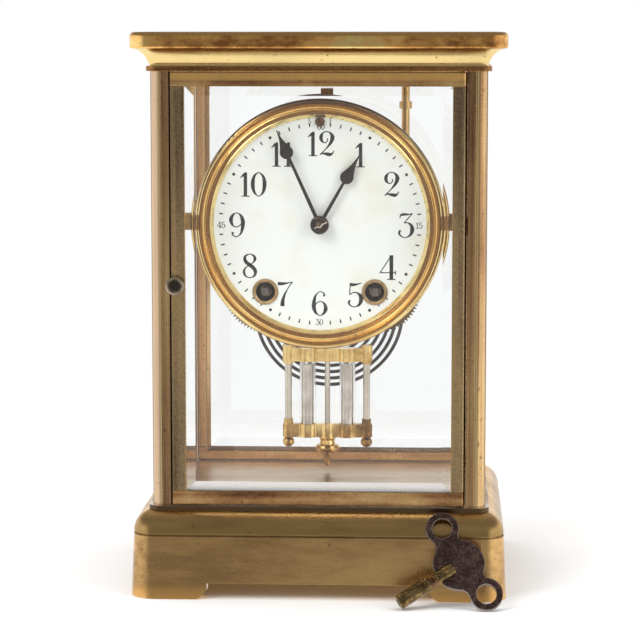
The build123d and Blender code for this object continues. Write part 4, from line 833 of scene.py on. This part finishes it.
def print_dial():
    """The figures, the minute track and the small print, just in front of the dial."""
    middle = middle_of("dial") / MM
    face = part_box("dial")[0].y / MM - PRINT_LIFT

    def print_piece(name, drawings, material):
        shapes = [
            ([(middle.x + x, face, middle.z + z) for x, z in points], faces)
            for points, faces in drawings
        ]
        piece(name, shapes, "case", material, False)

    black = ink("dial_ink", srgb(28, 27, 27))
    grey = ink("dial_ink_fine", srgb(70, 68, 66))
    figures = [written(str(hour), at, FIGURE_HEIGHT) for hour, at in FIGURE_PLACES.items()]
    print_piece("dial_figures", figures, black)
    track = []
    for minute in range(1, 60):
        if minute in SMALL_FIGURES:
            continue
        angle = math.radians(6 * minute)
        at = (TRACK_RADIUS * math.sin(angle), TRACK_RADIUS * math.cos(angle))
        track.append(dash(at, angle, DASH) if minute % 5 else dot(at, DOT_RADIUS))
    print_piece("dial_minute_track", track, black)
    small = [
        written(str(number), at, SMALL_FIGURE, SMALL_HAIRLINE)
        for number, at in SMALL_FIGURES.items()
    ]
    small += [written(letter, at, LETTER_HEIGHT) for letter, at in LETTER_PLACES.items()]
    print_piece("dial_small_print", small, grey)


def tube(line, radius, sides=10):
    """A round wire through points, as (vertices, faces)."""
    verts, faces = [], []
    for i, at in enumerate(line):
        ahead = (line[min(i + 1, len(line) - 1)] - line[max(i - 1, 0)]).normalized()
        side = ahead.cross(Vector((0, 1, 0))).normalized()
        up = ahead.cross(side)
        for k in range(sides):
            turn = 2 * math.pi * k / sides
            verts.append(at + radius * (math.cos(turn) * side + math.sin(turn) * up))
    for i in range(len(line) - 1):
        for k in range(sides):
            a, b = i * sides + k, i * sides + (k + 1) % sides
            faces.append((a, b, b + sides, a + sides))
    faces.append(tuple(range(sides)))
    faces.append(tuple(len(verts) - sides + k for k in range(sides)))
    return verts, faces


def turned(profile, sides=48):
    """A closed (radius, along) outline turned about the Y axis, as (vertices, faces)."""
    verts, faces = [], []
    count = len(profile)
    for k in range(sides):
        turn = 2 * math.pi * k / sides
        verts += [Vector((r * math.cos(turn), y, r * math.sin(turn))) for r, y in profile]
    for k in range(sides):
        for i in range(count):
            a, b = k * count + i, k * count + (i + 1) % count
            c, d = (k + 1) % sides * count + (i + 1) % count, (k + 1) % sides * count + i
            faces.append((a, b, c, d))
    return verts, faces


def moved(shape, by):
    return [point + by for point in shape[0]], shape[1]


def add_hand_pin():
    """The dark end of the arbor that carries the hands, and the bent pin through it."""
    middle = middle_of("hand_collet") / MM
    front = min(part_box(node)[0].y for node in ("hand_collet", "center_wheel")) / MM
    radius, back = ARBOR_TIP
    tip = front - ARBOR_RISE
    outline = [
        (0.0, tip), (0.7 * radius, tip), (radius, front + 0.1),
        (radius, front + back), (0.0, front + back),
    ]
    cap = moved(turned(outline, 24), Vector((middle.x, 0, middle.z)))
    piece("arbor_end", [cap], "minute_hand", plain_metal("arbor_steel"))
    line = [Vector((middle.x + x, tip - PIN_WIRE, middle.z + z)) for x, z in PIN_BENDS]
    wire = tube(line, PIN_WIRE)
    piece("hand_pin", [wire], "minute_hand", plain_metal("pin_steel"))


def add_key_rivet():
    """The rivet that holds the pipe of the key on its plate."""
    turn = Vector((0, -1, 0)).rotation_difference(KEY_FACE)
    points, faces = turned(RIVET_OUTLINE, 24)
    at = KEY_MIDDLE + KEY_RIVET[0] * KEY_AXIS + KEY_RIVET[1] * KEY_FACE
    shape = [at + turn @ point for point in points], faces
    piece("key_rivet", [shape], "key", plain_metal("rivet_bronze"))


def add_eyelet_sleeves():
    """Dark tubes that the eyelets lead into, round the winding squares: painted shade for the
    shadowed inside of the winding holes.
    """
    low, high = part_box("winding_eyelets")
    middle = (low + high) / 2 / MM
    front, back = high.y / MM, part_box("front_plate")[0].y / MM
    across = (high.x - low.x) / 2 / MM - EYELET_RIM
    bore, outside, hole = SLEEVE
    floor = back - SLEEVE_FLOOR
    wall = [
        (bore, front), (outside, front), (outside, back), (hole, back), (hole, floor), (bore, floor)
    ]
    places = [Vector((middle.x + side * across, 0, middle.z)) for side in (-1, 1)]
    sleeves = [moved(turned(wall), place) for place in places]
    piece("eyelet_shade_sleeves", sleeves, "case", plain_metal("shade_sleeve_dark"))


def stand(shown, at, aim):
    """Puts a camera or lamp at one place, looking at another."""
    bpy.context.scene.collection.objects.link(shown)
    shown.location = at
    shown.rotation_mode = "QUATERNION"
    shown.rotation_quaternion = (Vector(aim) - Vector(at)).to_track_quat("-Z", "Y")


def set_camera():
    data = bpy.data.cameras.new("photo_camera")
    data.lens = CAMERA_LENS
    data.sensor_width = SENSOR
    camera = bpy.data.objects.new("photo_camera", data)
    stand(camera, CAMERA_AT, CAMERA_AIM)
    bpy.context.scene.camera = camera


def set_world():
    """White all round for sight; reflections also see a dim room in front of and above it."""
    world = bpy.data.worlds.new("studio")
    bpy.context.scene.world = world
    n = Nodes(world, "ShaderNodeOutputWorld")

    def step(value, low, high, start, end):
        return n.rescale(value, low, high, start, end, interpolation_type="SMOOTHSTEP")

    def light(strength):
        return n.add("ShaderNodeBackground", {"Color": WHITE, "Strength": strength}).outputs[0]

    way = n.split(n.where("Generated"))
    walls = step(n.calc("ABSOLUTE", way["X"]), 0.45, 0.85, 0.0, 1.0)
    backdrop = step(way["Y"], 0.0, 0.4, 0.0, 1.0)
    low = step(way["Z"], 0.2, 0.6, 1.0, 0.0)
    table = step(way["Z"], -0.45, -0.15, 1.0, 0.3)
    room = n.calc("MULTIPLY", n.calc("MAXIMUM", walls, backdrop), low)
    mirrored = light(n.calc("MAXIMUM", room, table))
    path = n.add("ShaderNodeLightPath").outputs
    soft = n.blend(path["Is Glossy Ray"], light(SOFT_LIGHT), mirrored)
    seen = n.calc("MAXIMUM", path["Is Camera Ray"], path["Is Transmission Ray"])
    n.show(n.blend(seen, soft, light(SIGHT_LIGHT)))


def set_lamps():
    """Broad lamps that light the clock but aren't mirrored in it."""
    for name, (at, aim, size, power) in LAMPS.items():
        data = bpy.data.lights.new(name, "AREA")
        data.shape = "RECTANGLE"
        data.size, data.size_y = size
        data.energy = power
        shown = bpy.data.objects.new(name, data)
        shown.visible_glossy = False
        stand(shown, at, aim)


def set_floor():
    """A white floor that keeps the shadow and runs out into the white surroundings."""
    n = new_material("white_floor")
    matt = n.add("ShaderNodeBsdfDiffuse", {"Color": FLOOR_WHITE}).outputs[0]
    clear = n.add("ShaderNodeBsdfTransparent").outputs[0]
    away = n.vector("LENGTH", (n.where(),), "Value")
    share = n.rescale(away, *FLOOR_CLEAR, interpolation_type="SMOOTHSTEP")
    far = FLOOR_CLEAR[1]
    corners = [(-far, -far, 0), (far, -far, 0), (far, far, 0), (-far, far, 0)]
    mesh = bpy.data.meshes.new("floor")
    mesh.from_pydata(corners, [], [(0, 1, 2, 3)])
    mesh.materials.append(n.show(n.blend(share, matt, clear)))
    floor = bpy.data.objects.new("floor", mesh)
    bpy.context.scene.collection.objects.link(floor)
    floor.visible_glossy = False


def main():
    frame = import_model()
    bpy.context.scene.view_settings.view_transform = "Standard"
    set_camera()
    set_world()
    set_floor()
    set_lamps()
    dress_nodes(frame["nodes"])
    print_dial()
    add_hand_pin()
    add_eyelet_sleeves()
    add_key_rivet()


main()
